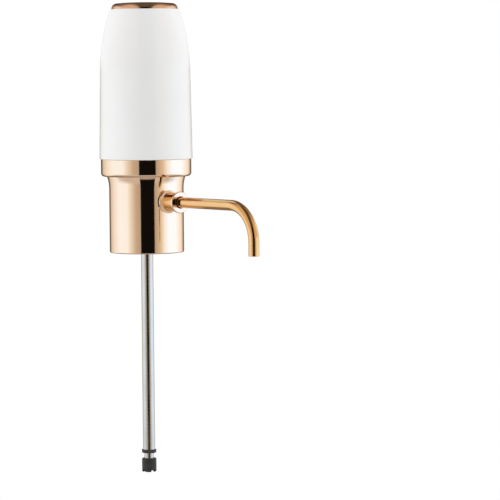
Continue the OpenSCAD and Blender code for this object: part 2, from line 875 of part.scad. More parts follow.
// Lower cover of the pump, with the outlet chamber and nipple
module pump_head() {
    chamber_r = outlet_hole_x + flap_r + 0.3;
    color(inner_plastic) at_pump() difference() {
        union() {
            post(pump_r, deck_z, head_z1);
            post(nipple_r, deck_z - pump_nipple_h, deck_z + over);
        }
        post(air_bore_r, deck_z - pump_nipple_h - over, head_z1);
        post(chamber_r, head_z1 - head_t / 3, head_z1 + over);
        ring_of(cup_angles, inlet_hole_x) post(valve_hole_r, deck_z - over, head_z1 + over);
        ring_of(pump_screw_angles, pump_screw_x) {
            post(pump_screw_r + fit_gap, deck_z - over, head_z1 + over);
            post(pump_head_r + fit_gap, deck_z - over, deck_z + pump_head_t + fit_gap);
        }
    }
}

// Soft flaps over the outlet holes of the valve plate
module valve_flaps() {
    color(rubber_black) at_pump() ring_of(cup_angles, outlet_hole_x) post(flap_r, head_z1 - flap_t, head_z1);
}

// Plate with the inlet and outlet holes of the three chambers
module valve_plate() {
    color(pale_plastic) at_pump() difference() {
        post(pump_r, head_z1, plate_z1);
        ring_of(cup_angles, outlet_hole_x) post(valve_hole_r, head_z1 - over, plate_z1 + over);
        ring_of(cup_angles, inlet_hole_x) post(valve_hole_r, head_z1 - over, plate_z1 + over);
        ring_of(pump_screw_angles, pump_screw_x) post(pump_screw_r + fit_gap, head_z1 - over, plate_z1 + over);
    }
}

// Rubber sheet with three pumping cups and the stems that the rocker works
module diaphragm() {
    color(rubber_black) at_pump() difference() {
        union() {
            post(sheet_r, plate_z1, sheet_z1);
            ring_of(cup_angles, cup_x) {
                post(cup_r, plate_z1, sheet_z1 + cup_h);
                post(cup_stem_r, sheet_z1, pivot_z + arm_t);
            }
        }
        ring_of(cup_angles, cup_x) post(cup_r - cup_wall, plate_z1 - over, sheet_z1 + cup_h - cup_wall);
        ring_of(pump_screw_angles, pump_screw_x) post(pump_screw_r + fit_gap, plate_z1 - over, sheet_z1 + over);
    }
}

// Cup-shaped pump body that holds the mechanism and carries the motor
module pump_body() {
    color(inner_plastic) at_pump() difference() {
        post(pump_r, sheet_z1, motor_z0);
        difference() {
            post(cavity_r, sheet_z1 - over, body_roof_z);
            ring_of(pump_screw_angles, pump_screw_x)
                post(boss_r, sheet_z1 - 2 * over, sheet_z1 + pump_screw_grip + boss_r);
        }
        post(motor_boss_r + fit_gap, body_roof_z - over, motor_z0 + over);
        ring_of([0, 180], motor_screw_x) post(small_screw_r + fit_gap, body_roof_z - over, motor_z0 + over);
        ring_of(pump_screw_angles, pump_screw_x)
            post(pump_screw_r + tight_gap, sheet_z1 - over, sheet_z1 + pump_screw_grip);
    }
}

// Screws that hold the pump's head, valve plate and diaphragm to its body
module pump_screws() {
    head_z0 = deck_z + pump_head_t;
    color(steel) at_pump() ring_of(pump_screw_angles, pump_screw_x) {
        post(pump_head_r, deck_z + fit_gap, head_z0 + fit_gap);
        post(pump_screw_r, head_z0, sheet_z1 + pump_screw_grip - pass_gap);
    }
}

// Places its children on the tilted axis of the crank pin
module at_rocker() {
    translate([0, pump_y, pivot_z]) rotate([0, wobble, 0]) children();
}

// Three-armed rocker that turns the crank's motion into strokes of the cups
module rocker() {
    color(pale_plastic) at_rocker() difference() {
        union() {
            post(hub_r, -arm_t / 2, hub_h);
            for (a = cup_angles) rotate(a) {
                translate([0, -arm_pad_r / 2, -arm_t / 2]) cube([cup_x, arm_pad_r, arm_t]);
                translate([cup_x, 0, 0]) post(arm_pad_r, -arm_t / 2, arm_t / 2);
            }
        }
        post(pin_r + run_gap, -arm_t, hub_h + over);
        ring_of(cup_angles, cup_x) post(arm_hole_r, -arm_t, arm_t);
    }
}

// Slanted pin between the crank wheel and the rocker
module crank_pin() {
    color(steel) at_rocker() post(pin_r, -arm_t / 2, (crank_z0 - pivot_z + pin_grip) / cos(wobble));
}

// Wheel on the motor's shaft that carries the slanted pin
module crank_wheel() {
    color(pale_plastic) difference() {
        at_pump() post(crank_r, crank_z0, crank_z1);
        at_pump() post(shaft_r + tight_gap, shaft_z0 - fit_gap, crank_z1 + over);
        at_rocker() post(pin_r + tight_gap, 0, (crank_z0 - pivot_z + pin_grip) / cos(wobble) + fit_gap);
    }
}

// Screws that hold the motor to the pump's body
module motor_screws() {
    color(steel) at_pump() ring_of([0, 180], motor_screw_x) {
        post(small_head_r, body_roof_z - small_head_t, body_roof_z);
        post(small_screw_r, body_roof_z, motor_z0 + motor_screw_grip);
    }
}

// Drawn steel can of the motor with its front bearing
module motor_can() {
    color(steel) at_pump() difference() {
        union() {
            post(pump_r, motor_z0, motor_z1);
            post(motor_boss_r, motor_z0 - motor_boss_h, motor_z0 + over);
        }
        post(can_in, motor_z0 + can_front_t, motor_z1 + over);
        post(shaft_r + run_gap, motor_z0 - motor_boss_h - over, motor_z1);
        ring_of([0, 180], motor_screw_x)
            post(small_screw_r + tight_gap, motor_z0 - over, motor_z0 + motor_screw_grip + fit_gap);
    }
}

// Two curved magnets on the can's inner wall
module motor_magnets() {
    gap_w = rotor_r;
    color(rubber_black) at_pump() difference() {
        pipe(can_in - tight_gap, can_in - magnet_t, rotor_z0, rotor_z0 + rotor_h);
        translate([-gap_w / 2, -pump_r, rotor_z0 - over]) cube([gap_w, 2 * pump_r, rotor_h + 2 * over]);
    }
}

// Three-pole rotor with its commutator
module motor_rotor() {
    color(brass) at_pump() difference() {
        union() {
            difference() {
                post(rotor_r, rotor_z0, rotor_z0 + rotor_h);
                for (a = [0, 120, 240]) rotate(a) translate([rotor_r / 3, -rotor_slot_w / 2, rotor_z0 - over])
                    cube([rotor_r, rotor_slot_w, rotor_h + 2 * over]);
            }
            post(commutator_r, rotor_z0, rotor_z0 + rotor_h + commutator_h);
        }
        post(shaft_r + tight_gap, rotor_z0 - over, rotor_z0 + rotor_h + commutator_h + over);
    }
}

// Motor shaft, from the crank wheel to the rear bearing
module motor_shaft() {
    color(steel) at_pump() post(shaft_r, shaft_z0, motor_z1 + end_cap_t / 2);
}

// Plastic end cap with the rear bearing
module motor_end_cap() {
    color(rubber_black) at_pump() difference() {
        union() {
            post(pump_r, motor_z1, motor_z1 + end_cap_t);
            post(can_in - fit_gap, motor_z1 - end_cap_t / 2, motor_z1 + over);
        }
        post(shaft_r + run_gap, motor_z1 - end_cap_t, motor_z1 + end_cap_t / 2 + fit_gap);
    }
}

// Two solder tabs on the end cap
module motor_terminals() {
    tab_w = 3;
    tab_t = 0.5;
    color(brass) at_pump() for (side = [-1, 1])
        translate([side * terminal_x - tab_t / 2, -tab_w / 2, motor_z1 + end_cap_t]) difference() {
            cube([tab_t, tab_w, terminal_h]);
            translate([-over, tab_w / 2, terminal_h - tab_w / 2]) rotate([0, 90, 0])
                cylinder(r = tab_w / 5, h = tab_t + 2 * over);
        }
}

// Rechargeable cell beside the pump
module battery_cell() {
    color("#3b6fa5") translate([0, cell_y, 0]) {
        post(cell_r, deck_z, deck_z + cell_h - cell_nub_h);
        post(cell_nub_r, deck_z + cell_h - cell_nub_h - over, deck_z + cell_h);
    }
}

// Upright main board at the back, held in the chassis rails
module main_board() {
    color(board_green) translate([board_x, -board_w / 2, deck_z]) cube([board_t, board_w, board_h]);
}

// Lays a shape drawn across the port so that it faces backwards from the board
module at_port() {
    translate([board_x, 0, port_z]) rotate([0, -90, 0]) rotate(90) children();
}

// Metal shell of the charging port
module charge_port() {
    color(steel) at_port() difference() {
        linear_extrude(port_len) slot_outline(port_w, port_h);
        translate([0, 0, port_shell]) linear_extrude(port_len)
            slot_outline(port_w - 2 * port_shell, port_h - 2 * port_shell);
    }
}

// Contact tongue inside the charging port
module port_tongue() {
    tongue_w = port_w - port_h;
    color(rubber_black) at_port() translate([-tongue_w / 2, -tongue_t / 2, port_shell])
        cube([tongue_w, tongue_t, port_len - 2 * port_shell]);
}

upper_housing();
button_cap();
button_spring();
switch_board();
board_screws();
tact_switch();
switch_plunger();
collar();
bottle_sleeve();
spout_socket();
socket_seal();
spout_seal();
spout_tube();
manifold();
frame_screws();
bottle_stopper();
dip_tube_upper();
dip_tube_bush();
dip_tube_lower();
dip_tube_foot();
chassis();
air_hose();
check_valve();
pump_head();
valve_flaps();
valve_plate();
diaphragm();
pump_body();
pump_screws();
rocker();
crank_pin();
crank_wheel();
motor_screws();
motor_can();
motor_magnets();
motor_rotor();
motor_shaft();
motor_end_cap();
motor_terminals();
battery_cell();
main_board();
charge_port();
port_tongue();
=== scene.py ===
"""Looks of an electric wine aerator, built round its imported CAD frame.

Every mesh is in metres in the frame's own axes: the bottle's axis is Z, the bottle's rim is at
height 0 and the spout points along +X. Heights and radii come from the CAD nodes' boxes. The
edge roundings that catch the light are added here, and every surface gets a procedural finish.
"""

import json
import logging
import math
from collections.abc import Sequence
from dataclasses import dataclass
from enum import Enum
from typing import Protocol

import bmesh
import bpy
from bmesh.types import BMEdge, BMesh, BMFace, BMVert
from bpy.types import Material, Node, NodeSocket, Object, Scene, World
from mathutils import Matrix, Vector


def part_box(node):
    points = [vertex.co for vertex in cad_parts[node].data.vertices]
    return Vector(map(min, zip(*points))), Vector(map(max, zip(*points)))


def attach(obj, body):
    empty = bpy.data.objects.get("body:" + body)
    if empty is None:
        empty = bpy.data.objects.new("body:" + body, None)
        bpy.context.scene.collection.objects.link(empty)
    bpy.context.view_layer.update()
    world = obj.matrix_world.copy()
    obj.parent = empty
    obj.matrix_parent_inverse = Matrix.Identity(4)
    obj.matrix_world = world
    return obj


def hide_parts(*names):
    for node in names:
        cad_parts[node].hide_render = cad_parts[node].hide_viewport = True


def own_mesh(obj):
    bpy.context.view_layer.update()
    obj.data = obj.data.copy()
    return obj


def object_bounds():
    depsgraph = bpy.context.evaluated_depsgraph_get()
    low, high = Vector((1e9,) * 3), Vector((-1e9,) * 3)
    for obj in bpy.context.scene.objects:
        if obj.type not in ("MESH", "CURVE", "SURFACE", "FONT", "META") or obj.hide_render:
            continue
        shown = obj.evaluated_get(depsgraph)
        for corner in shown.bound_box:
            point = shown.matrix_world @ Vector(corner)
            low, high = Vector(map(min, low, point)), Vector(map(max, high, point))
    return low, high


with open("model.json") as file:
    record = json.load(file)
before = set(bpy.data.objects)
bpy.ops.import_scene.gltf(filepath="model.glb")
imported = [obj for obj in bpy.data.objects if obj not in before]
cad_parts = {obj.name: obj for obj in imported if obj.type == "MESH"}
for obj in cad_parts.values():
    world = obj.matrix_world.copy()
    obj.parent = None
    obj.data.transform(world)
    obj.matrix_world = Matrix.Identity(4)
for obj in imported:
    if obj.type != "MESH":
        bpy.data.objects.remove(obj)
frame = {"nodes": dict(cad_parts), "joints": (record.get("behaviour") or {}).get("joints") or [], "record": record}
cad_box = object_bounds()

log = logging.getLogger("aerator")

Colour = tuple[float, float, float]
Triple = tuple[float, float, float]
Inputs = dict[str | int, object]


def mm(length: float) -> float:
    """Millimetres as metres."""
    return length * 0.001


MERGE_DISTANCE = 1e-7
CUT_MERGE = 2e-6
CREASE = math.radians(38.0)
ARC_TURN = math.radians(10.0)
ARC_CHORD = mm(1.2)
QUARTER_TURN = math.pi / 2.0
UPWARD: Triple = (0.0, 0.0, 1.0)

# The middle of a noise's range, which holds nearly all its values.
NOISE_LOW, NOISE_HIGH = 0.3, 0.7

# A slot's ends are rounded by a little less than half its height, so that no edge collapses.
SLOT_ROUND = 0.499
SLOT_SEGMENTS = 12
EDGE_SEGMENTS = 3

# The button's hooks and the slots they pass through.
HOOK_ANGLES = (30.0, 150.0, 270.0)
HOOK_X = mm(15.75)

# Ends of the light tent's ramps: sines up or to the right, and bearings in degrees.
SINES = (-1.0, 1.0)
BEARINGS = (-180.0, 180.0)

# Material places on the socket, after its own rose gold: the barrel's spout gold, and a dark plating that paints
# the shade inside the mouth.
BARREL_FINISH, MOUTH_SHADE = 1, 2


class Steps(Enum):
    """How many facets a turned piece has round its axis."""

    SHELL = 192
    FITTING = 128
    WIRE = 48


class Slot(Enum):
    """Material slots of the record, by the names it gives them."""

    SHELL_WHITE = "shell_white"
    ROSE_GOLD = "rose_gold"
    SPOUT_GOLD = "spout_gold"
    INNER_PLASTIC = "inner_plastic"
    PALE_PLASTIC = "pale_plastic"
    SILICONE = "silicone"
    RUBBER_BLACK = "rubber_black"
    SWITCH_PLASTIC = "switch_plastic"
    STEEL = "steel"
    COPPER = "copper"
    BRASS = "brass"
    FERRITE = "ferrite"
    CELL_WRAP = "cell_wrap"
    BOARD_GREEN = "board_green"


@dataclass(frozen=True)
class Stop:
    """A stop of a colour ramp: its place, its colour and its alpha."""

    at: float
    light: Colour
    alpha: float = 1.0


class Graph:
    """The node tree of a material or a world, written one node at a time."""

    def __init__(self, owner: Material | World) -> None:
        """Takes the material or world that gets the nodes."""
        owner.use_nodes = True
        self.nodes, self.links = owner.node_tree.nodes, owner.node_tree.links

    def feed(self, node: Node, inputs: Inputs) -> Node:
        """Fills a node's inputs.

        Args:
            node: The node.
            inputs: By name or index, a value to set or another node's output to link.

        Returns:
            The node.
        """
        for socket, value in inputs.items():
            if isinstance(value, NodeSocket):
                self.links.new(value, node.inputs[socket])
            else:
                node.inputs[socket].default_value = value
        return node

    def node(self, kind: str, inputs: Inputs | None = None, **settings: str) -> Node:
        """Adds a node.

        Args:
            kind: Its type, without the ShaderNode that every type starts with.
            inputs: What its inputs are filled with.
            settings: Its own properties, set before its inputs.

        Returns:
            The node.
        """
        made = self.nodes.new(f"ShaderNode{kind}")
        for name, value in settings.items():
            setattr(made, name, value)
        return self.feed(made, inputs or {})

    def ramp(
        self, value: NodeSocket, stops: Sequence[Stop], low: float = 0.0, high: float = 1.0
    ) -> Node:
        """Adds a colour ramp.

        Args:
            value: Where the ramp is read, from 0 to 1.
            stops: Its stops in order.
            low: The stops' place that is the ramp's start.
            high: The place that is its end.

        Returns:
            The ramp's node.
        """
        node = self.node("ValToRGB", {"Fac": value})
        elements = node.color_ramp.elements
        elements.remove(elements[1])
        for index, stop in enumerate(stops):
            position = (stop.at - low) / (high - low)
            element = elements.new(position) if index else elements[0]
            element.position = position
            element.color = (*stop.light, stop.alpha)
        return node

    def mixed(self, factor: NodeSocket, first: NodeSocket, second: NodeSocket) -> NodeSocket:
        """Mixes two colours.

        Args:
            factor: From 0 for the first to 1 for the second.
            first: One colour.
            second: The other colour.

        Returns:
            The mixed colour.
        """
        mix = self.node("Mix", {"Factor": factor}, data_type="RGBA")
        colours = [socket for socket in mix.inputs if socket.type == "RGBA"]
        self.links.new(first, colours[0])
        self.links.new(second, colours[1])
        return next(socket for socket in mix.outputs if socket.type == "RGBA")


class Shader(Graph):
    """A node material round one Principled surface that reads Object coordinates."""

    def __init__(self, name: str, constants: Inputs) -> None:
        """Starts a material.

        Args:
            name: The material's name.
            constants: Values set on the surface's own sockets, by socket name.
        """
        self.material = bpy.data.materials.new(name)
        super().__init__(self.material)
        self.surface = self.feed(self.nodes["Principled BSDF"], constants)
        self.place = self.node("TexCoord").outputs["Object"]

    def stretched(self, scale: Triple) -> NodeSocket:
        """Object coordinates, scaled apart along each axis."""
        return self.node("Mapping", {"Vector": self.place, "Scale": scale}).outputs["Vector"]

    def noise(
        self, scale: float, detail: float = 2.0, place: NodeSocket | None = None
    ) -> NodeSocket:
        """Cloudy noise.

        Args:
            scale: Cells per metre, or per unit of a stretched place.
            detail: Octaves of finer noise.
            place: Coordinates to read in place of the plain Object ones.

        Returns:
            A value from 0 to 1.
        """
        inputs = {"Vector": place or self.place, "Scale": scale, "Detail": detail}
        return self.node("TexNoise", inputs).outputs["Fac"]

    def cells(self, scale: float) -> NodeSocket:
        """Distance to the nearest of many scattered points, from 0 up."""
        return self.node("TexVoronoi", {"Vector": self.place, "Scale": scale}).outputs["Distance"]

    def bands(self, scale: float, direction: str, distortion: float = 0.0) -> NodeSocket:
        """Straight bands across one axis.

        Args:
            scale: Bands per metre, times about 0.16.
            direction: The axis X, Y or Z.
            distortion: How much the bands waver.

        Returns:
            A value from 0 to 1.
        """
        inputs = {"Vector": self.place, "Scale": scale, "Distortion": distortion}
        wave = self.node("TexWave", inputs, wave_type="BANDS", bands_direction=direction)
        return wave.outputs["Fac"]

    def colour(
        self,
        value: NodeSocket,
        first: Colour,
        second: Colour,
        start: float = NOISE_LOW,
        end: float = NOISE_HIGH,
    ) -> None:
        """Blends the base colour between two along a value.

        Args:
            value: The pattern.
            first: Colour at and below start.
            second: Colour at and above end.
            start: Pattern value where the blend begins.
            end: Pattern value where it ends.
        """
        ramp = self.ramp(value, (Stop(start, first), Stop(end, second)))
        self.feed(self.surface, {"Base Color": ramp.outputs["Color"]})

    def roughness(self, value: NodeSocket, low: float, high: float) -> None:
        """Spreads the middle of a noise's range between two roughnesses.

        Args:
            value: The noise.
            low: Roughness where it is low.
            high: Roughness where it is high.
        """
        ends = {"From Min": NOISE_LOW, "From Max": NOISE_HIGH, "To Min": low, "To Max": high}
        spread = self.node("MapRange", {"Value": value, **ends})
        self.feed(self.surface, {"Roughness": spread.outputs["Result"]})

    def relief(self, *layers: tuple[NodeSocket, float]) -> None:
        """Raises the surface.

        Args:
            layers: Pairs of a pattern and its height in metres.
        """
        normal: Inputs = {}
        for height, depth in layers:
            lift = {"Height": height, "Distance": depth, "Strength": 1.0}
            bump = self.node("Bump", {**lift, **normal})
            normal = {"Normal": bump.outputs["Normal"]}
        self.feed(self.surface, normal)


class Finish(Protocol):
    """Anything that can make the material of one slot."""

    def material(self, name: str) -> Material:
        """The finish as a material of that name."""


@dataclass(frozen=True)
class Plating:
    """Polished or drawn metal: faint smears, and fine lines left by the polishing wheel."""

    colour: Colour
    shade: Colour
    gloss: float
    smear: float
    smear_scale: float = 55.0
    line_stretch: Triple = (30.0, 30.0, 9000.0)
    line_depth: float = 4e-8
    edge: Colour = (1.0, 1.0, 1.0)

    def material(self, name: str) -> Material:
        """Makes the plating a material.

        Args:
            name: The material's name.

        Returns:
            The material.
        """
        shader = Shader(name, {"Metallic": 1.0, "Specular Tint": (*self.edge, 1.0)})
        smears = shader.noise(self.smear_scale, detail=4.0)
        lines = shader.noise(1.0, detail=1.0, place=shader.stretched(self.line_stretch))
        shader.colour(smears, self.colour, self.shade)
        shader.roughness(smears, self.gloss, self.smear)
        shader.relief((lines, self.line_depth))
        return shader.material


@dataclass(frozen=True)
class Moulding:
    """Moulded plastic: a slight flow mottle under a skin with a fine grain."""

    colour: Colour
    shade: Colour
    gloss: float
    smear: float
    grain_scale: float
    grain_depth: float
    flow_scale: float = 38.0
    flow_rise: float = 4.0

    def material(self, name: str) -> Material:
        """Makes the moulding a material.

        Args:
            name: The material's name.

        Returns:
            The material.
        """
        shader = Shader(name, {"IOR": 1.49})
        flow = shader.noise(self.flow_scale, detail=3.0)
        grain = shader.noise(self.grain_scale)
        shader.colour(flow, self.colour, self.shade)
        shader.roughness(grain, self.gloss, self.smear)
        shader.relief((grain, self.grain_depth), (flow, self.grain_depth * self.flow_rise))
        return shader.material


@dataclass(frozen=True)
class Elastomer:
    """Soft moulded rubber or silicone, matt, with a bloom and light inside where it is pale."""

    colour: Colour
    bloom: Colour
    gloss: float
    matt: float
    glow: float = 0.0
    clear: float = 0.0
    glow_reach: Triple = (mm(2.0), mm(2.0), mm(1.8))
    bloom_scale: float = 160.0
    bloom_depth: float = 1.2e-5
    pore_scale: float = 5200.0
    pore_depth: float = 6e-6

    def material(self, name: str) -> Material:
        """Makes the elastomer a material.

        Args:
            name: The material's name.

        Returns:
            The material.
        """
        shader = Shader(
            name,
            {
                "IOR": 1.42,
                "Subsurface Weight": self.glow,
                "Subsurface Radius": self.glow_reach,
                "Subsurface Scale": 1.0,
                "Transmission Weight": self.clear,
                "Sheen Weight": 0.15,
                "Sheen Roughness": 0.4,
            },
        )
        bloom = shader.noise(self.bloom_scale, detail=5.0)
        pores = shader.noise(self.pore_scale)
        shader.colour(bloom, self.colour, self.bloom)
        shader.roughness(bloom, self.gloss, self.matt)
        shader.relief((pores, self.pore_depth), (bloom, self.bloom_depth))
        return shader.material


@dataclass(frozen=True)
class WoundCopper:
    """Enamelled wire laid side by side, with painted shade in the dark crevices between the turns."""

    colour: Colour
    # Dark colour between the wires: painted shade in the crevices between turns.
    gap: Colour
    wire_scale: float = 320.0
    wire_depth: float = 8e-5
    enamel_scale: float = 700.0

    def material(self, name: str) -> Material:
        """Makes the winding a material.

        Args:
            name: The material's name.

        Returns:
            The material.
        """
        shader = Shader(name, {"Metallic": 0.85, "Coat Weight": 0.6, "Coat Roughness": 0.12})
        wires = shader.bands(self.wire_scale, "Z", distortion=0.4)
        # The bands blend from the painted crevice shade to the copper.
        shader.colour(wires, self.gap, self.colour, start=0.1, end=0.5)
        shader.roughness(shader.noise(self.enamel_scale, detail=3.0), 0.22, 0.36)
        shader.relief((wires, self.wire_depth))
        return shader.material


@dataclass(frozen=True)
class FiredCeramic:
    """Sintered magnet: dull, dark and speckled."""

    colour: Colour
    speck: Colour
    grit_scale: float = 2600.0
    pit_scale: float = 1500.0
    pit_depth: float = 3e-5

    def material(self, name: str) -> Material:
        """Makes the ceramic a material.

        Args:
            name: The material's name.

        Returns:
            The material.
        """
        shader = Shader(name, {"IOR": 2.0, "Metallic": 0.2})
        pits = shader.noise(self.pit_scale, detail=4.0)
        shader.colour(
            shader.cells(self.grit_scale), self.speck, self.colour, start=0.08, end=0.22
        )
        shader.roughness(pits, 0.5, 0.72)
        shader.relief((pits, self.pit_depth))
        return shader.material


@dataclass(frozen=True)
class ShrinkFilm:
    """Thin film shrunk on a cell: glossy, with ripples and a lighter stretch mottle."""

    colour: Colour
    stretch: Colour
    ripple_stretch: Triple = (260.0, 260.0, 60.0)
    ripple_depth: float = 5e-5
    mottle_scale: float = 420.0

    def material(self, name: str) -> Material:
        """Makes the film a material.

        Args:
            name: The material's name.

        Returns:
            The material.
        """
        shader = Shader(name, {"IOR": 1.53, "Coat Weight": 0.35, "Coat Roughness": 0.08})
        ripple = shader.noise(1.0, place=shader.stretched(self.ripple_stretch))
        shader.colour(shader.noise(self.mottle_scale, detail=4.0), self.colour, self.stretch)
        shader.roughness(ripple, 0.2, 0.34)
        shader.relief((ripple, self.ripple_depth))
        return shader.material


@dataclass(frozen=True)
class SolderMask:
    """Circuit board lacquer over woven glass, with tinned pads showing through."""

    colour: Colour
    pad: Colour
    pad_scale: float = 330.0
    weave_scale: float = 190.0
    weave_depth: float = 6e-6
    lacquer_scale: float = 900.0

    def material(self, name: str) -> Material:
        """Makes the board's lacquer a material.

        Args:
            name: The material's name.

        Returns:
            The material.
        """
        shader = Shader(name, {"IOR": 1.55, "Coat Weight": 0.5, "Coat Roughness": 0.15})
        weave = [(shader.bands(self.weave_scale, axis), self.weave_depth) for axis in "YZ"]
        shader.colour(shader.cells(self.pad_scale), self.pad, self.colour, start=0.2, end=0.24)
        shader.roughness(shader.noise(self.lacquer_scale, detail=3.0), 0.28, 0.42)
        shader.relief(*weave)
        return shader.material


# The cap's plating: a rougher satin polish of its own, with a darker copy of the rose gold colour and a dark edge
# tint that paint the cap's shade.
SHADED_SATIN_CAP = Plating(
    colour=(0.85, 0.6, 0.44),
    shade=(0.83, 0.575, 0.42),
    gloss=0.18,
    smear=0.22,
    edge=(0.25, 0.18, 0.12),
)
# A dark plating that paints the shade inside the spout socket's mouth.
SHADED_MOUTH_PLATING = Plating(colour=(0.3, 0.17, 0.09), shade=(0.22, 0.12, 0.06), gloss=0.22, smear=0.34)

FINISHES: dict[Slot, Finish] = {
    Slot.SHELL_WHITE: Moulding(
        colour=(0.905, 0.905, 0.9),
        shade=(0.88, 0.88, 0.875),
        gloss=0.15,
        smear=0.2,
        grain_scale=2600.0,
        grain_depth=2e-7,
    ),
    Slot.ROSE_GOLD: Plating(
        colour=(0.95, 0.78, 0.63), shade=(0.94, 0.755, 0.6), gloss=0.045, smear=0.075
    ),
    Slot.SPOUT_GOLD: Plating(
        colour=(0.87, 0.56, 0.27),
        shade=(0.86, 0.54, 0.25),
        gloss=0.11,
        smear=0.16,
        line_stretch=(120.0, 9000.0, 9000.0),
        line_depth=2e-8,
    ),
    Slot.STEEL: Plating(
        colour=(0.66, 0.66, 0.655),
        shade=(0.61, 0.615, 0.62),
        gloss=0.17,
        smear=0.27,
        line_depth=2.5e-7,
    ),
    Slot.BRASS: Plating(
        colour=(0.78, 0.58, 0.29),
        shade=(0.68, 0.47, 0.22),
        gloss=0.2,
        smear=0.36,
        smear_scale=240.0,
        line_depth=2e-7,
    ),
    Slot.INNER_PLASTIC: Moulding(
        colour=(0.045, 0.05, 0.058),
        shade=(0.06, 0.064, 0.07),
        gloss=0.42,
        smear=0.6,
        grain_scale=3400.0,
        grain_depth=9e-6,
    ),
    Slot.PALE_PLASTIC: Moulding(
        colour=(0.78, 0.77, 0.72),
        shade=(0.72, 0.71, 0.66),
        gloss=0.34,
        smear=0.46,
        grain_scale=2200.0,
        grain_depth=4e-6,
    ),
    Slot.SWITCH_PLASTIC: Moulding(
        colour=(0.02, 0.02, 0.022),
        shade=(0.035, 0.035, 0.037),
        gloss=0.36,
        smear=0.5,
        grain_scale=5200.0,
        grain_depth=5e-6,
    ),
    Slot.SILICONE: Elastomer(
        colour=(0.74, 0.76, 0.77),
        bloom=(0.8, 0.815, 0.82),
        gloss=0.36,
        matt=0.52,
        glow=0.35,
        clear=0.12,
    ),
    Slot.RUBBER_BLACK: Elastomer(
        colour=(0.018, 0.019, 0.02), bloom=(0.04, 0.041, 0.043), gloss=0.5, matt=0.7
    ),
    # The winding's gap colour is painted shade between the turns.
    Slot.COPPER: WoundCopper(colour=(0.78, 0.34, 0.15), gap=(0.12, 0.045, 0.02)),
    Slot.FERRITE: FiredCeramic(colour=(0.055, 0.054, 0.056), speck=(0.16, 0.155, 0.15)),
    Slot.CELL_WRAP: ShrinkFilm(colour=(0.035, 0.15, 0.34), stretch=(0.05, 0.2, 0.42)),
    Slot.BOARD_GREEN: SolderMask(colour=(0.01, 0.13, 0.055), pad=(0.6, 0.58, 0.54)),
}


class Palette:
    """The finishes, each made into a material when it is first asked for."""

    def __init__(self) -> None:
        """Starts with no material made."""
        self.made: dict[Slot, Material] = {}

    def material(self, slot: Slot) -> Material:
        """Gives a slot its material.

        Args:
            slot: The slot.

        Returns:
            The material.
        """
        if slot not in self.made:
            self.made[slot] = FINISHES[slot].material(slot.value)
        return self.made[slot]


@dataclass(frozen=True)
class Span:
    """Radius and heights of a CAD node that is turned about the bottle's axis."""

    radius: float
    low: float
    high: float

    @classmethod
    def of(cls, node: str) -> "Span":
        """The span of a node by name, from its box."""
        lowest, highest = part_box(node)
        return cls((highest.y - lowest.y) / 2.0, lowest.z, highest.z)


class Outline:
    """Half outline of a turned piece: straight runs whose corners may be rounded."""

    def __init__(self, *corners: tuple[float, ...], closed: bool = True) -> None:
        """Takes the corners in order.

        Args:
            corners: Each corner's distance from the axis, its place along the axis and, if it
                is rounded, the radius of its rounding.
            closed: Whether the last corner runs back to the first. An open outline starts and
                ends on the axis, or makes an open shell.
        """
        self.corners = [
            (Vector((radius, 0.0, height)), rounding[0] if rounding else 0.0)
            for radius, height, *rounding in corners
        ]
        self.closed = closed

    def turned(self, steps: Steps) -> BMesh:
        """The outline turned once round the Z axis.

        Args:
            steps: Facets round the axis.

        Returns:
            A mesh with merged seams and outward faces.
        """
        mesh = bmesh.new()
        chain = [vert for index in range(len(self.corners)) for vert in self._corner(mesh, index)]
        pairs = list(zip(chain, chain[1:]))
        if self.closed:
            pairs.append((chain[-1], chain[0]))
        for pair in pairs:
            if mesh.edges.get(pair) is None:
                mesh.edges.new(pair)
        bmesh.ops.spin(
            mesh,
            geom=mesh.verts[:] + mesh.edges[:],
            axis=UPWARD,
            angle=math.tau,
            steps=steps.value,
            use_merge=True,
        )
        bmesh.ops.remove_doubles(mesh, verts=mesh.verts[:], dist=MERGE_DISTANCE)
        bmesh.ops.recalc_face_normals(mesh, faces=mesh.faces[:])
        return mesh

    def _corner(self, mesh: BMesh, index: int) -> list[BMVert]:
        """Puts one corner into the mesh.

        Args:
            mesh: The mesh that takes it.
            index: Which corner.

        Returns:
            Its vertices in order: one, or those of its rounding.
        """
        corner, rounding = self.corners[index]
        if rounding <= 0.0:
            return [mesh.verts.new(corner)]
        back = (self.corners[index - 1][0] - corner).normalized()
        ahead = (self.corners[(index + 1) % len(self.corners)][0] - corner).normalized()
        turn = math.pi - back.angle(ahead)
        reach = rounding * math.tan(turn / 2.0)
        centre = corner + (back + ahead).normalized() * rounding / math.cos(turn / 2.0)
        first = corner + back * reach
        chain = [mesh.verts.new(first)]
        bmesh.ops.spin(
            mesh,
            geom=chain[:],
            cent=centre,
            axis=(first - centre).cross(corner + ahead * reach - centre).normalized(),
            angle=turn,
            steps=max(2, math.ceil(turn / ARC_TURN), math.ceil(turn * rounding / ARC_CHORD)),
            use_merge=False,
        )
        while True:
            onward = [edge.other_vert(chain[-1]) for edge in chain[-1].link_edges]
            fresh = [vert for vert in onward if vert not in chain]
            if not fresh:
                return chain
            chain.append(fresh[0])


def arc_to_reach(run: float, turn: float) -> float:
    """Radius of the rounding that uses up a run on each side of a corner with that turn."""
    return run / math.tan(turn / 2.0)


def shift(mesh: BMesh, *vec: float) -> BMesh:
    """Moves a whole mesh by X, Y and Z, and returns it."""
    bmesh.ops.translate(mesh, vec=vec, verts=mesh.verts[:])
    return mesh


def soften(
    mesh: BMesh, edges: list[BMEdge], radius: float, segments: int = EDGE_SEGMENTS
) -> BMesh:
    """Rounds some of a mesh's edges.

    Args:
        mesh: The mesh.
        edges: Which of its edges.
        radius: Their rounding.
        segments: Facets across it.

    Returns:
        The same mesh.
    """
    bmesh.ops.bevel(
        mesh,
        geom=edges,
        offset=radius,
        offset_type="OFFSET",
        affect="EDGES",
        segments=segments,
        profile=0.5,
        material=-1,
    )
    return mesh


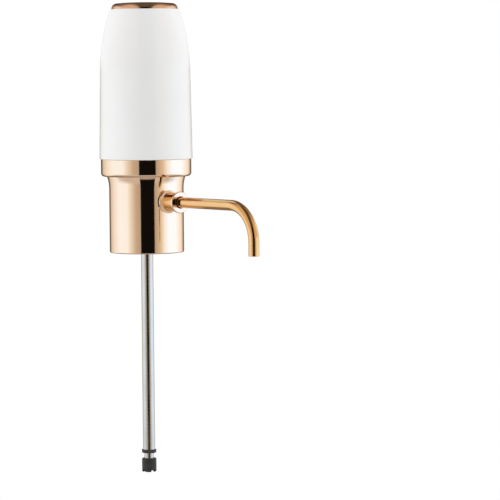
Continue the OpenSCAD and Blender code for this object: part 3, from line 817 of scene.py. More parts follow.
def block(size: Triple, centre: Triple, edge: float = 0.0) -> BMesh:
    """A block.

    Args:
        size: Its lengths along X, Y and Z.
        centre: Where its middle is.
        edge: Radius of its edges, or 0 to leave them sharp.

    Returns:
        The block's mesh.
    """
    mesh = bmesh.new()
    bmesh.ops.create_cube(mesh, size=1.0)
    bmesh.ops.scale(mesh, vec=size, verts=mesh.verts[:])
    if edge > 0.0:
        soften(mesh, mesh.edges[:], edge)
    return shift(mesh, *centre)


def slot_prism(length: float, width: float, height: float) -> BMesh:
    """A prism along X whose section is a slot with round ends.

    Args:
        length: Its length along X, from the origin towards -X.
        width: The slot's width along Y.
        height: The slot's height along Z.

    Returns:
        The prism's mesh.
    """
    mesh = block((length, width, height), (-length / 2.0, 0.0, 0.0))
    lengthwise = [e for e in mesh.edges if abs(e.verts[0].co.x - e.verts[1].co.x) > length / 2.0]
    return soften(mesh, lengthwise, height * SLOT_ROUND, SLOT_SEGMENTS)


def join(mesh: BMesh, *others: BMesh) -> BMesh:
    """Adds meshes to another one and frees them.

    Args:
        mesh: The mesh that takes them.
        others: The meshes that are added.

    Returns:
        The first mesh.
    """
    for other in others:
        carrier = bpy.data.meshes.new("carrier")
        other.to_mesh(carrier)
        other.free()
        mesh.from_mesh(carrier)
        bpy.data.meshes.remove(carrier)
    return mesh


def lay_along_spout(mesh: BMesh, height: float) -> BMesh:
    """Lays an upright mesh along +X.

    Args:
        mesh: The mesh.
        height: Height of its axis then.

    Returns:
        The same mesh.
    """
    turn = Matrix.Translation((0.0, 0.0, height)) @ Matrix.Rotation(QUARTER_TURN, 4, "Y")
    bmesh.ops.transform(mesh, matrix=turn, verts=mesh.verts[:])
    return mesh


def around(mesh: BMesh, angles: tuple[float, ...]) -> BMesh:
    """Repeats a mesh about the Z axis.

    Args:
        mesh: What is repeated. It is freed.
        angles: Where the copies go, in degrees.

    Returns:
        One mesh with all the copies.
    """
    ring = bmesh.new()
    for angle in angles:
        copy = mesh.copy()
        turn = Matrix.Rotation(math.radians(angle), 3, "Z")
        bmesh.ops.rotate(copy, matrix=turn, verts=copy.verts[:])
        join(ring, copy)
    mesh.free()
    return ring


def placed(name: str, mesh: BMesh) -> Object:
    """Makes a mesh an object of the scene, at the origin.

    Args:
        name: The object's name.
        mesh: Its mesh, which is freed.

    Returns:
        The object.
    """
    data = bpy.data.meshes.new(name)
    mesh.to_mesh(data)
    mesh.free()
    made = bpy.data.objects.new(name, data)
    bpy.context.scene.collection.objects.link(made)
    return made


def cut(mesh: BMesh, cutter: BMesh) -> BMesh:
    """Cuts one mesh out of another.

    Args:
        mesh: The mesh that is cut. It is freed.
        cutter: What is taken away. It is freed.

    Returns:
        What is left.
    """
    blank, tool = placed("blank", mesh), placed("cutter", cutter)
    boolean = blank.modifiers.new("cut", "BOOLEAN")
    boolean.operation = "DIFFERENCE"
    boolean.solver = "EXACT"
    boolean.object = tool
    left = bmesh.new()
    left.from_object(blank, bpy.context.evaluated_depsgraph_get())
    bmesh.ops.remove_doubles(left, verts=left.verts[:], dist=CUT_MERGE)
    for used in (blank, tool):
        data = used.data
        bpy.data.objects.remove(used)
        bpy.data.meshes.remove(data)
    return left


class Bench:
    """Turns meshes into finished pieces that ride on the frame."""

    def __init__(self, palette: Palette) -> None:
        """Takes the palette that the pieces are finished from."""
        self.palette = palette

    def piece(
        self,
        name: str,
        mesh: BMesh,
        slot: Slot,
        body: str,
        stands_for: tuple[str, ...] = (),
        finish: Finish | None = None,
    ) -> Object:
        """Makes a mesh a piece of the object.

        Args:
            name: The piece's name.
            mesh: Its mesh, in the frame's axes. It is freed.
            slot: Its material slot.
            body: The CAD body it moves with.
            stands_for: The CAD nodes it replaces.
            finish: A finish of its own, where it differs from the slot's.

        Returns:
            The piece.
        """
        for face in mesh.faces:
            face.smooth = True
        for edge in mesh.edges:
            edge.smooth = edge.calc_face_angle(0.0) < CREASE
        made = placed(name, mesh)
        look = finish.material(name) if finish else self.palette.material(slot)
        made.data.materials.append(look)
        shading = made.modifiers.new("even_shading", "WEIGHTED_NORMAL")
        shading.keep_sharp = True
        shading.weight = 100
        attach(made, body)
        if stands_for:
            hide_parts(*stands_for)
        log.info("%s rides on %s, finished in %s", name, body, slot.value)
        return made

    def dress(self, node: str, slot: Slot) -> None:
        """Finishes a CAD node that stays in view.

        Args:
            node: The node's name.
            slot: The finish.
        """
        data = frame["nodes"][node].data
        data.materials.clear()
        data.materials.append(self.palette.material(slot))
        log.info("%s keeps its CAD mesh, finished in %s", node, slot.value)


def slide_travel(joint: str) -> float:
    """How far a sliding joint goes."""
    return next(j for j in frame["joints"] if j["name"] == joint)["range_m"][1]


@dataclass(frozen=True)
class Housing:
    """White shell with a drafted side, a curved shoulder and a well for the button."""

    rim_r: float = mm(20.0)
    well_r: float = mm(19.4)
    shoulder_h: float = mm(36.0)
    draft: float = mm(0.9)
    draft_blend: float = mm(2.0)
    wall: float = mm(2.0)
    inner_blend: float = mm(9.0)
    well_depth: float = mm(5.0)
    well_floor: float = mm(2.0)
    stem_hole_r: float = mm(3.4)
    edge: float = mm(0.3)
    rim_edge: float = mm(0.22)
    hook_room: Triple = (mm(2.2), mm(4.8), mm(6.0))
    post_angles: tuple[float, ...] = (90.0, 210.0, 330.0)
    post_x: float = mm(12.6)
    post_r: float = mm(2.6)
    port_gap: float = mm(0.35)
    port_start: float = mm(16.0)
    dish: float = mm(1.6)
    dish_depth: float = mm(0.7)

    def build(self, bench: Bench) -> None:
        """Makes the shell and cuts its openings.

        Args:
            bench: Finishes the pieces and lets them ride.
        """
        span = Span.of("upper_housing")
        shell = join(self._shell(span), self._posts(span))
        shell = cut(shell, join(self._port_cutter(span), self._hook_cutter(span)))
        bench.piece("housing_shell", shell, Slot.SHELL_WHITE, "root", ("upper_housing",))

    def _shell(self, span: Span) -> BMesh:
        """Turns the shell, outside and in.

        Args:
            span: The CAD housing's radius and heights.

        Returns:
            The shell's mesh.
        """
        shoulder_r = span.radius - self.draft
        inward = shoulder_r - self.rim_r
        arc_r = (self.shoulder_h**2 + inward**2) / (2.0 * inward)
        turn = math.asin(self.shoulder_h / arc_r)
        shoulder_z = span.high - self.shoulder_h
        bend_z = shoulder_z + arc_r * math.tan(turn / 2.0)
        outer_run = arc_r * math.tan(turn / 2.0) - 2.0 * self.rim_edge
        lean_z = shoulder_z - self.draft_blend
        lean = math.atan(self.draft / (shoulder_z - span.low))
        floor_top = span.high - self.well_depth
        floor_low = floor_top - self.well_floor
        floor_rise = floor_low - shoulder_z
        inner_top = shoulder_r - arc_r + math.sqrt((arc_r - self.wall) ** 2 - floor_rise**2)
        inner_bend = (inner_top - shoulder_r + self.wall) / (floor_low - bend_z)
        inner_turn = math.atan(-inner_bend)
        return Outline(
            (span.radius, span.low, self.edge),
            (self._side_r(span, lean_z), lean_z, arc_to_reach(self.draft_blend, lean)),
            (shoulder_r, bend_z, arc_to_reach(outer_run, turn)),
            (self.rim_r, span.high, self.rim_edge),
            (self.well_r, span.high, self.rim_edge),
            (self.well_r, floor_top, self.edge),
            (self.stem_hole_r, floor_top, self.edge),
            (self.stem_hole_r, floor_low),
            (inner_top, floor_low, self.edge),
            (shoulder_r - self.wall, bend_z, arc_to_reach(self.inner_blend, inner_turn)),
            (span.radius - self.wall, span.low),
        ).turned(Steps.SHELL)

    def _side_r(self, span: Span, height: float) -> float:
        """Radius of the drafted side at a height."""
        drafted = span.high - self.shoulder_h - span.low
        return span.radius - self.draft * (height - span.low) / drafted

    def _posts(self, span: Span) -> BMesh:
        """Makes three posts for the switch board's screws.

        Args:
            span: The CAD housing's radius and heights.

        Returns:
            The posts' mesh.
        """
        low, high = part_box("switch_board")[1].z, self._floor_middle(span)
        corners = (0.0, low), (self.post_r, low, self.edge), (self.post_r, high), (0.0, high)
        post = Outline(*corners, closed=False).turned(Steps.WIRE)
        return around(shift(post, self.post_x, 0.0, 0.0), self.post_angles)

    def _port_cutter(self, span: Span) -> BMesh:
        """Shapes the charging port's opening and the shallow dish round it.

        Args:
            span: The CAD housing's radius and heights.

        Returns:
            The mesh to cut away.
        """
        low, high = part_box("charge_port")
        middle = (low.z + high.z) / 2.0
        dish_start = self._side_r(span, middle) - self.dish_depth
        prisms: list[BMesh] = []
        for gap, start in ((self.port_gap, self.port_start), (self.dish, dish_start)):
            width, height = high.y - low.y + 2.0 * gap, high.z - low.z + 2.0 * gap
            prisms.append(shift(slot_prism(span.radius, width, height), -start, 0.0, middle))
        return join(*prisms)

    def _hook_cutter(self, span: Span) -> BMesh:
        """The slots in the well's floor that the button's hooks pass through."""
        return around(block(self.hook_room, (HOOK_X, 0.0, self._floor_middle(span))), HOOK_ANGLES)

    def _floor_middle(self, span: Span) -> float:
        """Height of the middle of the well's floor."""
        return span.high - self.well_depth - self.well_floor / 2.0


@dataclass(frozen=True)
class Button:
    """Domed cap that is pressed to pour, with its stem, hooks and return spring."""

    edge_r: float = mm(3.2)
    edge_room: float = 1.05
    dome: float = mm(0.8)
    drop: float = mm(0.25)
    wall: float = mm(1.6)
    skirt_edge: float = mm(0.25)
    skirt_drop: float = mm(4.0)
    stem_r: float = mm(3.0)
    hook_size: tuple[float, float] = (mm(1.4), mm(4.0))
    barb_out: float = mm(0.9)
    barb_slope: float = 0.98
    barb_h: float = mm(1.6)
    coil_r: float = mm(4.6)
    coil_turns: float = 4.5
    coil_steps: int = 40
    wire_r: float = mm(0.4)
    wire_sides: int = 12

    def build(self, bench: Bench) -> None:
        """Makes the cap and the spring under it.

        Args:
            bench: Finishes the pieces and lets them ride.
        """
        cap, span = self._cap(), Span.of("button_spring")
        # The cap's plating has a darker colour and edge tint that paint its shade.
        bench.piece("button_dome", cap, Slot.ROSE_GOLD, "button", ("button_cap",), SHADED_SATIN_CAP)
        coil = self._spring(span)
        spring = bench.piece("return_spring", coil, Slot.STEEL, "root", ("button_spring",))
        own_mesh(spring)

    def _cap(self) -> BMesh:
        """Turns the cap with its stem, and adds three snap hooks.

        Returns:
            The cap's mesh.
        """
        span = Span.of("button_cap")
        dome_turn = 2.0 * math.atan(self.dome / span.radius)
        top = span.high - self.drop
        crown = span.high - self.dome - self.wall
        stem_low = Span.of("switch_plunger").high
        skirt_low = Span.of("upper_housing").high - self.skirt_drop
        flat = span.radius / 2.0
        inner = span.radius - self.wall
        outline = Outline(
            (0.0, top),
            (flat, top, arc_to_reach(flat - self.edge_room * self.edge_r, dome_turn)),
            (span.radius, top - self.dome, self.edge_r),
            (span.radius, skirt_low, self.skirt_edge),
            (inner, skirt_low, self.skirt_edge),
            (inner, crown, self.skirt_edge),
            (self.stem_r, crown, self.skirt_edge),
            (self.stem_r, stem_low, self.skirt_edge),
            (0.0, stem_low),
            closed=False,
        )
        hooks = around(self._hook(span.low, crown + self.wall / 2.0), HOOK_ANGLES)
        return join(outline.turned(Steps.SHELL), hooks)

    def _hook(self, low: float, high: float) -> BMesh:
        """One snap hook: a leg with a sloped barb.

        Args:
            low: Height of the hook's end.
            high: Height of its root inside the cap.

        Returns:
            The hook on the +X side.
        """
        thick, wide = self.hook_size
        leg = block((thick, wide, high - low), (HOOK_X, 0.0, (low + high) / 2.0))
        sunk = thick / 2.0
        barb = block((self.barb_out + sunk, wide, self.barb_h), (0.0, 0.0, 0.0))
        tip = [v for v in barb.verts if v.co.x > 0.0 and v.co.z < 0.0]
        bmesh.ops.translate(barb, vec=(-self.barb_out * self.barb_slope, 0.0, 0.0), verts=tip)
        barb_x = HOOK_X + thick / 2.0 + (self.barb_out - sunk) / 2.0
        return join(leg, shift(barb, barb_x, 0.0, low + self.barb_h / 2.0))

    def _spring(self, span: Span) -> BMesh:
        """Winds round wire from the well's floor to the cap.

        Args:
            span: The CAD spring's radius and heights.

        Returns:
            The spring's mesh.
        """
        mesh = bmesh.new()
        bmesh.ops.create_circle(
            mesh, cap_ends=True, radius=self.wire_r, segments=self.wire_sides
        )
        upright = Matrix.Rotation(QUARTER_TURN, 3, "X")
        bmesh.ops.rotate(mesh, matrix=upright, verts=mesh.verts[:])
        shift(mesh, self.coil_r, 0.0, span.low + self.wire_r)
        steps = round(self.coil_turns * self.coil_steps)
        rise = span.high - span.low - 2.0 * self.wire_r
        bmesh.ops.spin(
            mesh,
            geom=mesh.verts[:] + mesh.edges[:] + mesh.faces[:],
            axis=UPWARD,
            dvec=(0.0, 0.0, rise / steps),
            angle=math.tau * self.coil_turns,
            steps=steps,
            use_merge=False,
        )
        bmesh.ops.recalc_face_normals(mesh, faces=mesh.faces[:])
        return mesh


@dataclass(frozen=True)
class NeckShells:
    """Polished collar under the housing, and the sleeve that drops over the bottle's neck."""

    collar_edge: float = mm(2.0)
    collar_wall: float = mm(1.8)
    collar_rim: float = mm(0.3)
    web: float = mm(2.4)
    lip_in: float = mm(14.5)
    lip: float = mm(2.0)
    sleeve_r: float = mm(21.5)
    sleeve_wall: float = mm(1.4)
    edge_share: float = 0.49
    flare_h: float = mm(7.0)
    flare_share: float = 0.999
    hole_r: float = mm(4.45)

    def build(self, bench: Bench) -> None:
        """Makes the collar and the sleeve.

        Args:
            bench: Finishes the pieces and lets them ride.
        """
        bench.piece("neck_collar", self._collar(), Slot.ROSE_GOLD, "root", ("collar",))
        sleeve = cut(self._sleeve(), self._hole())
        bench.piece("neck_sleeve", sleeve, Slot.ROSE_GOLD, "root", ("bottle_sleeve",))

    def _collar(self) -> BMesh:
        """Turns the collar with the web that rests on the sleeve.

        Returns:
            The collar's mesh.
        """
        span = Span.of("collar")
        inner = span.radius - self.collar_wall
        return Outline(
            (span.radius, span.high, self.collar_rim),
            (inner, span.high),
            (inner, span.low + self.web),
            (self.lip_in, span.low + self.web),
            (self.lip_in, span.low),
            (span.radius, span.low, self.collar_edge),
        ).turned(Steps.SHELL)

    def _sleeve(self) -> BMesh:
        """Turns a straight wall that flares out under the collar, with a rounded lower edge.

        Returns:
            The sleeve's mesh.
        """
        span = Span.of("bottle_sleeve")
        flare = span.radius - self.sleeve_r
        arc_r = (self.flare_h**2 + flare**2) / (2.0 * flare)
        run = arc_r * math.tan(math.asin(self.flare_h / arc_r) / 2.0)
        inner = self.sleeve_r - self.sleeve_wall
        round_edge = self.sleeve_wall * self.edge_share
        return Outline(
            (span.radius, span.high),
            (self.sleeve_r, span.high - self.flare_h + run, arc_r * self.flare_share),
            (self.sleeve_r, span.low, round_edge),
            (inner, span.low, round_edge),
            (inner, span.high - self.lip),
            (self.lip_in, span.high - self.lip),
            (self.lip_in, span.high),
        ).turned(Steps.SHELL)

    def _hole(self) -> BMesh:
        """Makes the rod that is cut out for the socket's stem.

        Returns:
            The mesh to cut away.
        """
        low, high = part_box("spout_socket")
        corners = (0.0, 0.0), (self.hole_r, 0.0), (self.hole_r, high.x), (0.0, high.x)
        rod = Outline(*corners, closed=False).turned(Steps.WIRE)
        return lay_along_spout(rod, (low.z + high.z) / 2.0)


@dataclass(frozen=True)
class Spout:
    """Turned socket on the sleeve, and the bent tube that swivels in it."""

    stem_r: float = mm(4.3)
    flange_back: float = mm(20.2)
    flange_front: float = mm(22.6)
    flange_edge: float = mm(0.35)
    flange_rim: float = mm(0.35)
    flange_chamfer: float = mm(0.45)
    flange_step: float = mm(0.55)
    flange_cone: float = mm(0.4)
    barrel_r: float = mm(5.5)
    nose_r: float = mm(6.2)
    nose: float = mm(1.3)
    nose_edge: float = mm(0.5)
    mouth_r: float = mm(3.5)
    mouth_depth: float = mm(0.6)
    bore_r: float = mm(3.05)
    seat_x: float = mm(13.2)
    passage_r: float = mm(2.5)
    tube_r: float = mm(3.0)
    tube_bore_r: float = mm(2.5)
    bend_r: float = mm(20.0)
    bend_steps: int = 36
    lip_edge: float = mm(0.18)

    def build(self, bench: Bench) -> None:
        """Makes the socket and the tube.

        Args:
            bench: Finishes the pieces and lets them ride.
        """
        boss = bench.piece(
            "spout_boss", self._socket(), Slot.ROSE_GOLD, "root", ("spout_socket",)
        )
        boss.data.materials.append(bench.palette.material(Slot.SPOUT_GOLD))
        # The third material is the dark plating that paints the shade inside the mouth.
        boss.data.materials.append(SHADED_MOUTH_PLATING.material("spout_mouth_shade"))
        bench.piece("spout_pipe", self._tube(), Slot.SPOUT_GOLD, "spout", ("spout_tube",))

    def _socket(self) -> BMesh:
        """Turns stem, stepped flange, waisted barrel plated as the tube, and countersunk mouth, whose faces get a
        dark plating that paints the shade inside it.

        Returns:
            The socket's mesh.
        """
        low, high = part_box("spout_socket")
        flange_r = (high.z - low.z) / 2.0
        step_r = flange_r - self.flange_step
        rim_x = self.flange_back + self.flange_rim
        nose_x = high.x - self.nose
        fine_edge = self.flange_edge / 2.0
        mesh = Outline(
            (self.passage_r, low.x),
            (self.stem_r, low.x, self.flange_edge),
            (self.stem_r, self.flange_back),
            (flange_r, self.flange_back),
            (flange_r, rim_x),
            (step_r, rim_x + self.flange_chamfer),
            (step_r, self.flange_front - self.flange_cone, fine_edge),
            (self.barrel_r, self.flange_front),
            (self.barrel_r, nose_x, self.flange_edge),
            (self.nose_r, nose_x, fine_edge),
            (self.nose_r, high.x, self.nose_edge),
            (self.mouth_r, high.x, fine_edge),
            (self.bore_r, high.x - self.mouth_depth),
            (self.bore_r, self.seat_x),
            (self.passage_r, self.seat_x),
        ).turned(Steps.FITTING)
        for face in mesh.faces:
            middle = face.calc_center_median()
            out = math.hypot(middle.x, middle.y)
            # Faces inside the mouth get the dark plating that paints its shade.
            if out < self.mouth_r - fine_edge / 2.0:
                face.material_index = MOUTH_SHADE
            elif out > self.mouth_r and self.flange_front < middle.z < nose_x:
                face.material_index = BARREL_FINISH
        return lay_along_spout(mesh, (low.z + high.z) / 2.0)

    def _tube(self) -> BMesh:
        """Sweeps a ring along the run, the bend and the leg, and softens the lip.

        Returns:
            The tube's mesh.
        """
        low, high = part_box("spout_tube")
        axis_z = high.z - self.tube_r
        bend_x, bend_z = high.x - self.tube_r - self.bend_r, axis_z - self.bend_r
        ring = Outline((self.tube_bore_r, 0.0), (self.tube_r, 0.0), closed=False)
        mesh = lay_along_spout(ring.turned(Steps.WIRE), axis_z)
        shift(mesh, low.x, 0.0, 0.0)
        first = self._pulled(mesh, mesh.faces[:], (bend_x - low.x, 0.0, 0.0))
        spun = bmesh.ops.spin(
            mesh,
            geom=first,
            cent=(bend_x, 0.0, bend_z),
            axis=(0.0, 1.0, 0.0),
            angle=QUARTER_TURN,
            steps=self.bend_steps,
            use_merge=False,
        )["geom_last"]
        second = [item for item in spun if isinstance(item, BMFace)]
        end = self._pulled(mesh, second, (0.0, 0.0, low.z - bend_z))
        bmesh.ops.delete(mesh, geom=first + second, context="FACES_ONLY")
        bmesh.ops.recalc_face_normals(mesh, faces=mesh.faces[:])
        faces = set(end)
        lip = [edge for face in end for edge in face.edges if not set(edge.link_faces) <= faces]
        return soften(mesh, lip, self.lip_edge)

    def _pulled(self, mesh: BMesh, faces: list[BMFace], vec: Triple) -> list[BMFace]:
        """Extrudes faces.

        Args:
            mesh: The mesh that has them.
            faces: The faces.
            vec: How far they go.

        Returns:
            The faces at the new end.
        """
        made = bmesh.ops.extrude_face_region(mesh, geom=faces)["geom"]
        verts = [item for item in made if isinstance(item, BMVert)]
        bmesh.ops.translate(mesh, vec=vec, verts=verts)
        return [item for item in made if isinstance(item, BMFace)]


@dataclass(frozen=True)
class Stopper:
    """Silicone plug with a flange for the bottle's rim and two lead-in ribs."""

    plug_r: float = mm(9.3)
    land: float = mm(7.0)
    bore_r: float = mm(7.61)
    flange_edge: float = mm(0.9)
    ribs: int = 2
    rib_step: float = mm(0.25)
    rib_h: float = mm(1.6)
    groove: float = mm(0.7)
    edge: float = mm(0.2)

    def build(self, bench: Bench) -> None:
        """Makes the stopper."""
        bench.piece("neck_plug", self._plug(), Slot.SILICONE, "root", ("bottle_stopper",))

    def _plug(self) -> BMesh:
        """Turns the plug with its flange and ribs.

        Returns:
            The plug's mesh.
        """
        span = Span.of("bottle_stopper")
        neck = self.plug_r - self.groove
        corners: list[tuple[float, ...]] = [
            (self.bore_r, span.high),
            (span.radius, span.high, self.flange_edge),
            (span.radius, 0.0, self.flange_edge),
            (self.plug_r, 0.0, self.edge),
            (self.plug_r, -self.land, self.edge),
            (neck, -self.land, self.edge),
        ]
        for rib in range(1, self.ribs + 1):
            low = -self.land + rib * (span.low + self.land) / self.ribs
            outward = self.plug_r - rib * self.rib_step
            corners += [
                (neck, low + self.rib_h, self.edge),
                (outward, low + self.rib_h, self.edge),
                (outward, low + self.rib_h / 2.0, self.edge),
                (neck, low, self.edge / 2.0),
            ]
        return Outline(*corners, (self.bore_r, span.low)).turned(Steps.FITTING)


@dataclass(frozen=True)
class DipTube:
    """Telescopic steel tube: an upper tube with its bush, a sliding lower one with its foot."""

    wall: float = mm(0.4)
    lip: float = mm(0.12)
    fit: float = mm(0.01)
    upper_r: float = mm(3.5)
    bush_wall: float = mm(0.3)
    bush_flange: float = mm(2.0)
    lower_r: float = mm(2.75)
    bead_h: float = mm(2.0)
    foot_grip: float = mm(5.0)
    foot_edge: float = mm(0.7)
    notch: float = mm(1.5)

    def build(self, bench: Bench) -> None:
        """Makes the four pieces.

        Args:
            bench: Finishes the pieces and lets them ride.
        """
        bench.piece("dip_outer", self._upper(), Slot.STEEL, "root", ("dip_tube_upper",))
        bench.piece("dip_guide", self._bush(), Slot.RUBBER_BLACK, "root", ("dip_tube_bush",))
        bench.piece("dip_inner", self._lower(), Slot.STEEL, "dip_tube", ("dip_tube_lower",))
        foot = cut(self._foot(), self._notches())
        bench.piece("dip_toe", foot, Slot.RUBBER_BLACK, "dip_tube", ("dip_tube_foot",))

    def _upper(self) -> BMesh:
        """Turns the fixed tube.

        Returns:
            The tube's mesh.
        """
        span = Span.of("dip_tube_upper")
        bore = span.radius - self.wall
        return Outline(
            (span.radius, span.low, self.lip),
            (span.radius, span.high, self.lip),
            (bore, span.high, self.lip),
            (bore, span.low, self.lip),
        ).turned(Steps.FITTING)

    def _bush(self) -> BMesh:
        """Turns the bush with its flange under the tube's end.

        Returns:
            The bush's mesh.
        """
        span = Span.of("dip_tube_bush")
        outer = self.upper_r - self.wall - self.fit
        bore = outer - self.bush_wall + self.fit
        shoulder = span.low + self.bush_flange
        return Outline(
            (bore, span.low, self.lip),
            (span.radius, span.low, self.foot_edge),
            (span.radius, shoulder, self.lip),
            (outer, shoulder),
            (outer, span.high),
            (bore, span.high),
        ).turned(Steps.FITTING)

    def _lower(self) -> BMesh:
        """Turns the sliding tube with the bead that stops it.

        Returns:
            The tube's mesh.
        """
        span = Span.of("dip_tube_lower")
        bore = self.lower_r - self.wall
        bead = span.high - self.bead_h
        return Outline(
            (bore, span.low),
            (self.lower_r, span.low),
            (self.lower_r, bead),
            (span.radius, bead, self.lip),
            (span.radius, span.high, self.lip),
            (bore, span.high),
        ).turned(Steps.FITTING)

    def _foot(self) -> BMesh:
        """Turns the foot, before its notches are cut.

        Returns:
            The foot's mesh.
        """
        span = Span.of("dip_tube_foot")
        seat, seat_r = span.high - self.foot_grip, self.lower_r + self.fit
        bore = self.lower_r - self.wall
        return Outline(
            (seat_r, span.high),
            (span.radius, span.high, self.foot_edge),
            (span.radius, span.low, self.foot_edge),
            (bore, span.low, self.lip),
            (bore, seat),
            (seat_r, seat),
        ).turned(Steps.FITTING)

    def _notches(self) -> BMesh:
        """Crosses two bars under the foot, which let wine in when it touches the bottle's floor.

        Returns:
            The mesh to cut away.
        """
        span = Span.of("dip_tube_foot")
        size = (4.0 * span.radius, self.lower_r, 2.0 * self.notch)
        return around(block(size, (0.0, 0.0, span.low)), (0.0, 90.0))


@dataclass(frozen=True)
class ChargePort:
    """Drawn metal shell of the charging port, with a tongue that carries contacts."""

    sheet: float = mm(0.3)
    tongue_edge: float = mm(0.12)
    contacts: int = 6
    contact_pitch: float = mm(0.8)
    contact_inset: float = mm(0.5)
    contact_size: Triple = (mm(3.4), mm(0.36), mm(0.08))
    contact_edge: float = mm(0.03)

    def build(self, bench: Bench) -> None:
        """Makes the shell, the tongue and its contacts.

        Args:
            bench: Finishes the pieces and lets them ride.
        """
        bench.piece("port_shell", self._shell(), Slot.STEEL, "root", ("charge_port",))
        bench.piece("port_blade", self._tongue(), Slot.SWITCH_PLASTIC, "root", ("port_tongue",))
        bench.piece("port_contacts", self._contacts(), Slot.BRASS, "root")

    def _shell(self) -> BMesh:
        """Hollows a slot prism from its mouth.

        Returns:
            The shell's mesh.
        """
        low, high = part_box("charge_port")
        length, width, height = high - low
        middle = (low.z + high.z) / 2.0
        outside, inside = (
            shift(
                slot_prism(length, width - 2.0 * inset, height - 2.0 * inset),
                high.x - inset,
                0.0,
                middle,
            )
            for inset in (0.0, self.sheet)
        )
        return cut(outside, inside)

    def _tongue(self) -> BMesh:
        """The tongue, with rounded edges."""
        low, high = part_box("port_tongue")
        return block(tuple(high - low), tuple((low + high) / 2.0), self.tongue_edge)

    def _contacts(self) -> BMesh:
        """Sets rows of contacts on both faces of the tongue.

        Returns:
            The contacts' mesh.
        """
        low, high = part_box("port_tongue")
        middle_x = low.x + self.contact_inset + self.contact_size[0] / 2.0
        mesh = bmesh.new()
        for face in (low.z, high.z):
            for index in range(self.contacts):
                aside = (index - (self.contacts - 1) / 2.0) * self.contact_pitch
                contact = block(self.contact_size, (middle_x, aside, face), self.contact_edge)
                join(mesh, contact)
        return mesh


class InnerWorks:
    """The pump, motor, battery and boards inside, which keep their CAD meshes."""

    def build(self, bench: Bench) -> None:
        """Finishes every CAD node that no modelled piece stands for.

        Args:
            bench: Finishes the pieces and lets them ride.
        """
        for part in frame["record"]["subparts"]:
            if not frame["nodes"][part["node"]].hide_render:
                bench.dress(part["node"], Slot(part["material_slot"]))


@dataclass(frozen=True)
class Gap:
    """A dark gap between the side lights that reaches up to the tent's top.

    Its sides are sines to the right of the lens, its foot is the sine of an elevation, and the
    soft values are the widths over which its edges fade.
    """

    left: float
    right: float
    low: float
    light: Colour
    soft_side: float = 0.02
    soft_low: float = 0.06

    def over(
        self, graph: Graph, cloth: NodeSocket, aside: NodeSocket, sine: NodeSocket
    ) -> NodeSocket:
        """Puts the gap into the cloth.

        Args:
            graph: The tent material's nodes.
            cloth: The cloth's colour.
            aside: Sine to the right, spread from 0 to 1.
            sine: Sine of the elevation, spread from 0 to 1.

        Returns:
            The colour of the cloth with the gap.
        """
        half, rise = self.soft_side / 2.0, self.soft_low / 2.0
        sides = (
            (self.left - half, 0.0),
            (self.left + half, 1.0),
            (self.right - half, 1.0),
            (self.right + half, 0.0),
        )
        foot = ((self.low - rise, 0.0), (self.low + rise, 1.0))
        across, up = (
            graph.ramp(value, [Stop(at, self.light, hides) for at, hides in edges], *SINES)
            for value, edges in ((aside, sides), (sine, foot))
        )
        both = {0: across.outputs["Alpha"], 1: up.outputs["Alpha"]}
        hides = graph.node("Math", both, operation="MULTIPLY").outputs["Value"]
        return graph.mixed(hides, cloth, up.outputs["Color"])


WHITE: Colour = (1.0, 1.0, 1.0)
PAPER: Colour = (0.93, 0.93, 0.93)
BLACK_CLOTH: Colour = (0.006, 0.005, 0.004)
BROWN_CLOTH: Colour = (0.28, 0.21, 0.155)
DUSK_CLOTH: Colour = (0.2, 0.15, 0.11)
WARM_CLOTH: Colour = (0.78, 0.62, 0.48)
PALE_CLOTH: Colour = (0.64, 0.55, 0.47)
WHITE_CLOTH: Colour = (1.08, 1.1, 1.12)
DIM_BACKDROP: Colour = (0.1, 0.08, 0.065)

# The tent's wall by its bearing in degrees from the lens, positive to the right of the picture.
# The alpha says how far a stop lies behind the object.
TENT_WALL = (
    Stop(-180.0, DIM_BACKDROP),
    Stop(-154.0, DIM_BACKDROP),
    Stop(-142.0, (0.72, 0.6, 0.46)),
    Stop(-124.0, (0.9, 0.86, 0.79)),
    Stop(-108.0, (1.02, 1.0, 0.98)),
    Stop(-90.0, (1.04, 1.14, 1.24), 0.2),
    Stop(-62.0, (1.04, 1.1, 1.12), 0.0),
    Stop(-46.0, (0.82, 0.74, 0.62), 0.0),
    Stop(-33.0, (0.6, 0.48, 0.36), 0.0),
    Stop(-18.0, (0.48, 0.4, 0.33), 0.0),
    Stop(24.0, (0.46, 0.38, 0.29), 0.0),
    Stop(42.0, (0.76, 0.6, 0.42), 0.0),
    Stop(56.0, (1.0, 1.04, 1.05), 0.0),
    Stop(72.0, (1.06, 1.26, 1.52), 0.0),
    Stop(100.0, (1.06, 1.26, 1.5), 0.6),
    Stop(118.0, (1.03, 1.06, 1.04)),
    Stop(134.0, (0.98, 0.88, 0.77)),
    Stop(154.0, DUSK_CLOTH),
    Stop(180.0, DIM_BACKDROP),
)

# The tent's height by the sine of the elevation. The alpha says how far a stop hides the wall.
TENT_FRONT = (
    Stop(-1.0, (0.4, 0.33, 0.28)),
    Stop(-0.8, (0.5, 0.42, 0.36)),
    Stop(-0.62, PALE_CLOTH),
    Stop(-0.4, PALE_CLOTH),
    Stop(-0.25, PALE_CLOTH, 0.0),
    Stop(0.115, WARM_CLOTH, 0.0),
    Stop(0.17, WARM_CLOTH),
    Stop(0.8, WARM_CLOTH),
    Stop(1.0, PALE_CLOTH),
)
TENT_BACK = (
    Stop(-1.0, BROWN_CLOTH),
    Stop(-0.6, BROWN_CLOTH),
    Stop(-0.45, BROWN_CLOTH, 0.0),
    Stop(0.07, WHITE_CLOTH, 0.0),
    Stop(0.11, WHITE_CLOTH, 0.8),
    Stop(0.32, WHITE_CLOTH, 0.8),
    Stop(0.38, WHITE_CLOTH, 0.0),
    Stop(0.46, BROWN_CLOTH, 0.0),
    Stop(0.6, BROWN_CLOTH),
    Stop(0.75, BROWN_CLOTH),
    Stop(1.0, PALE_CLOTH),
)

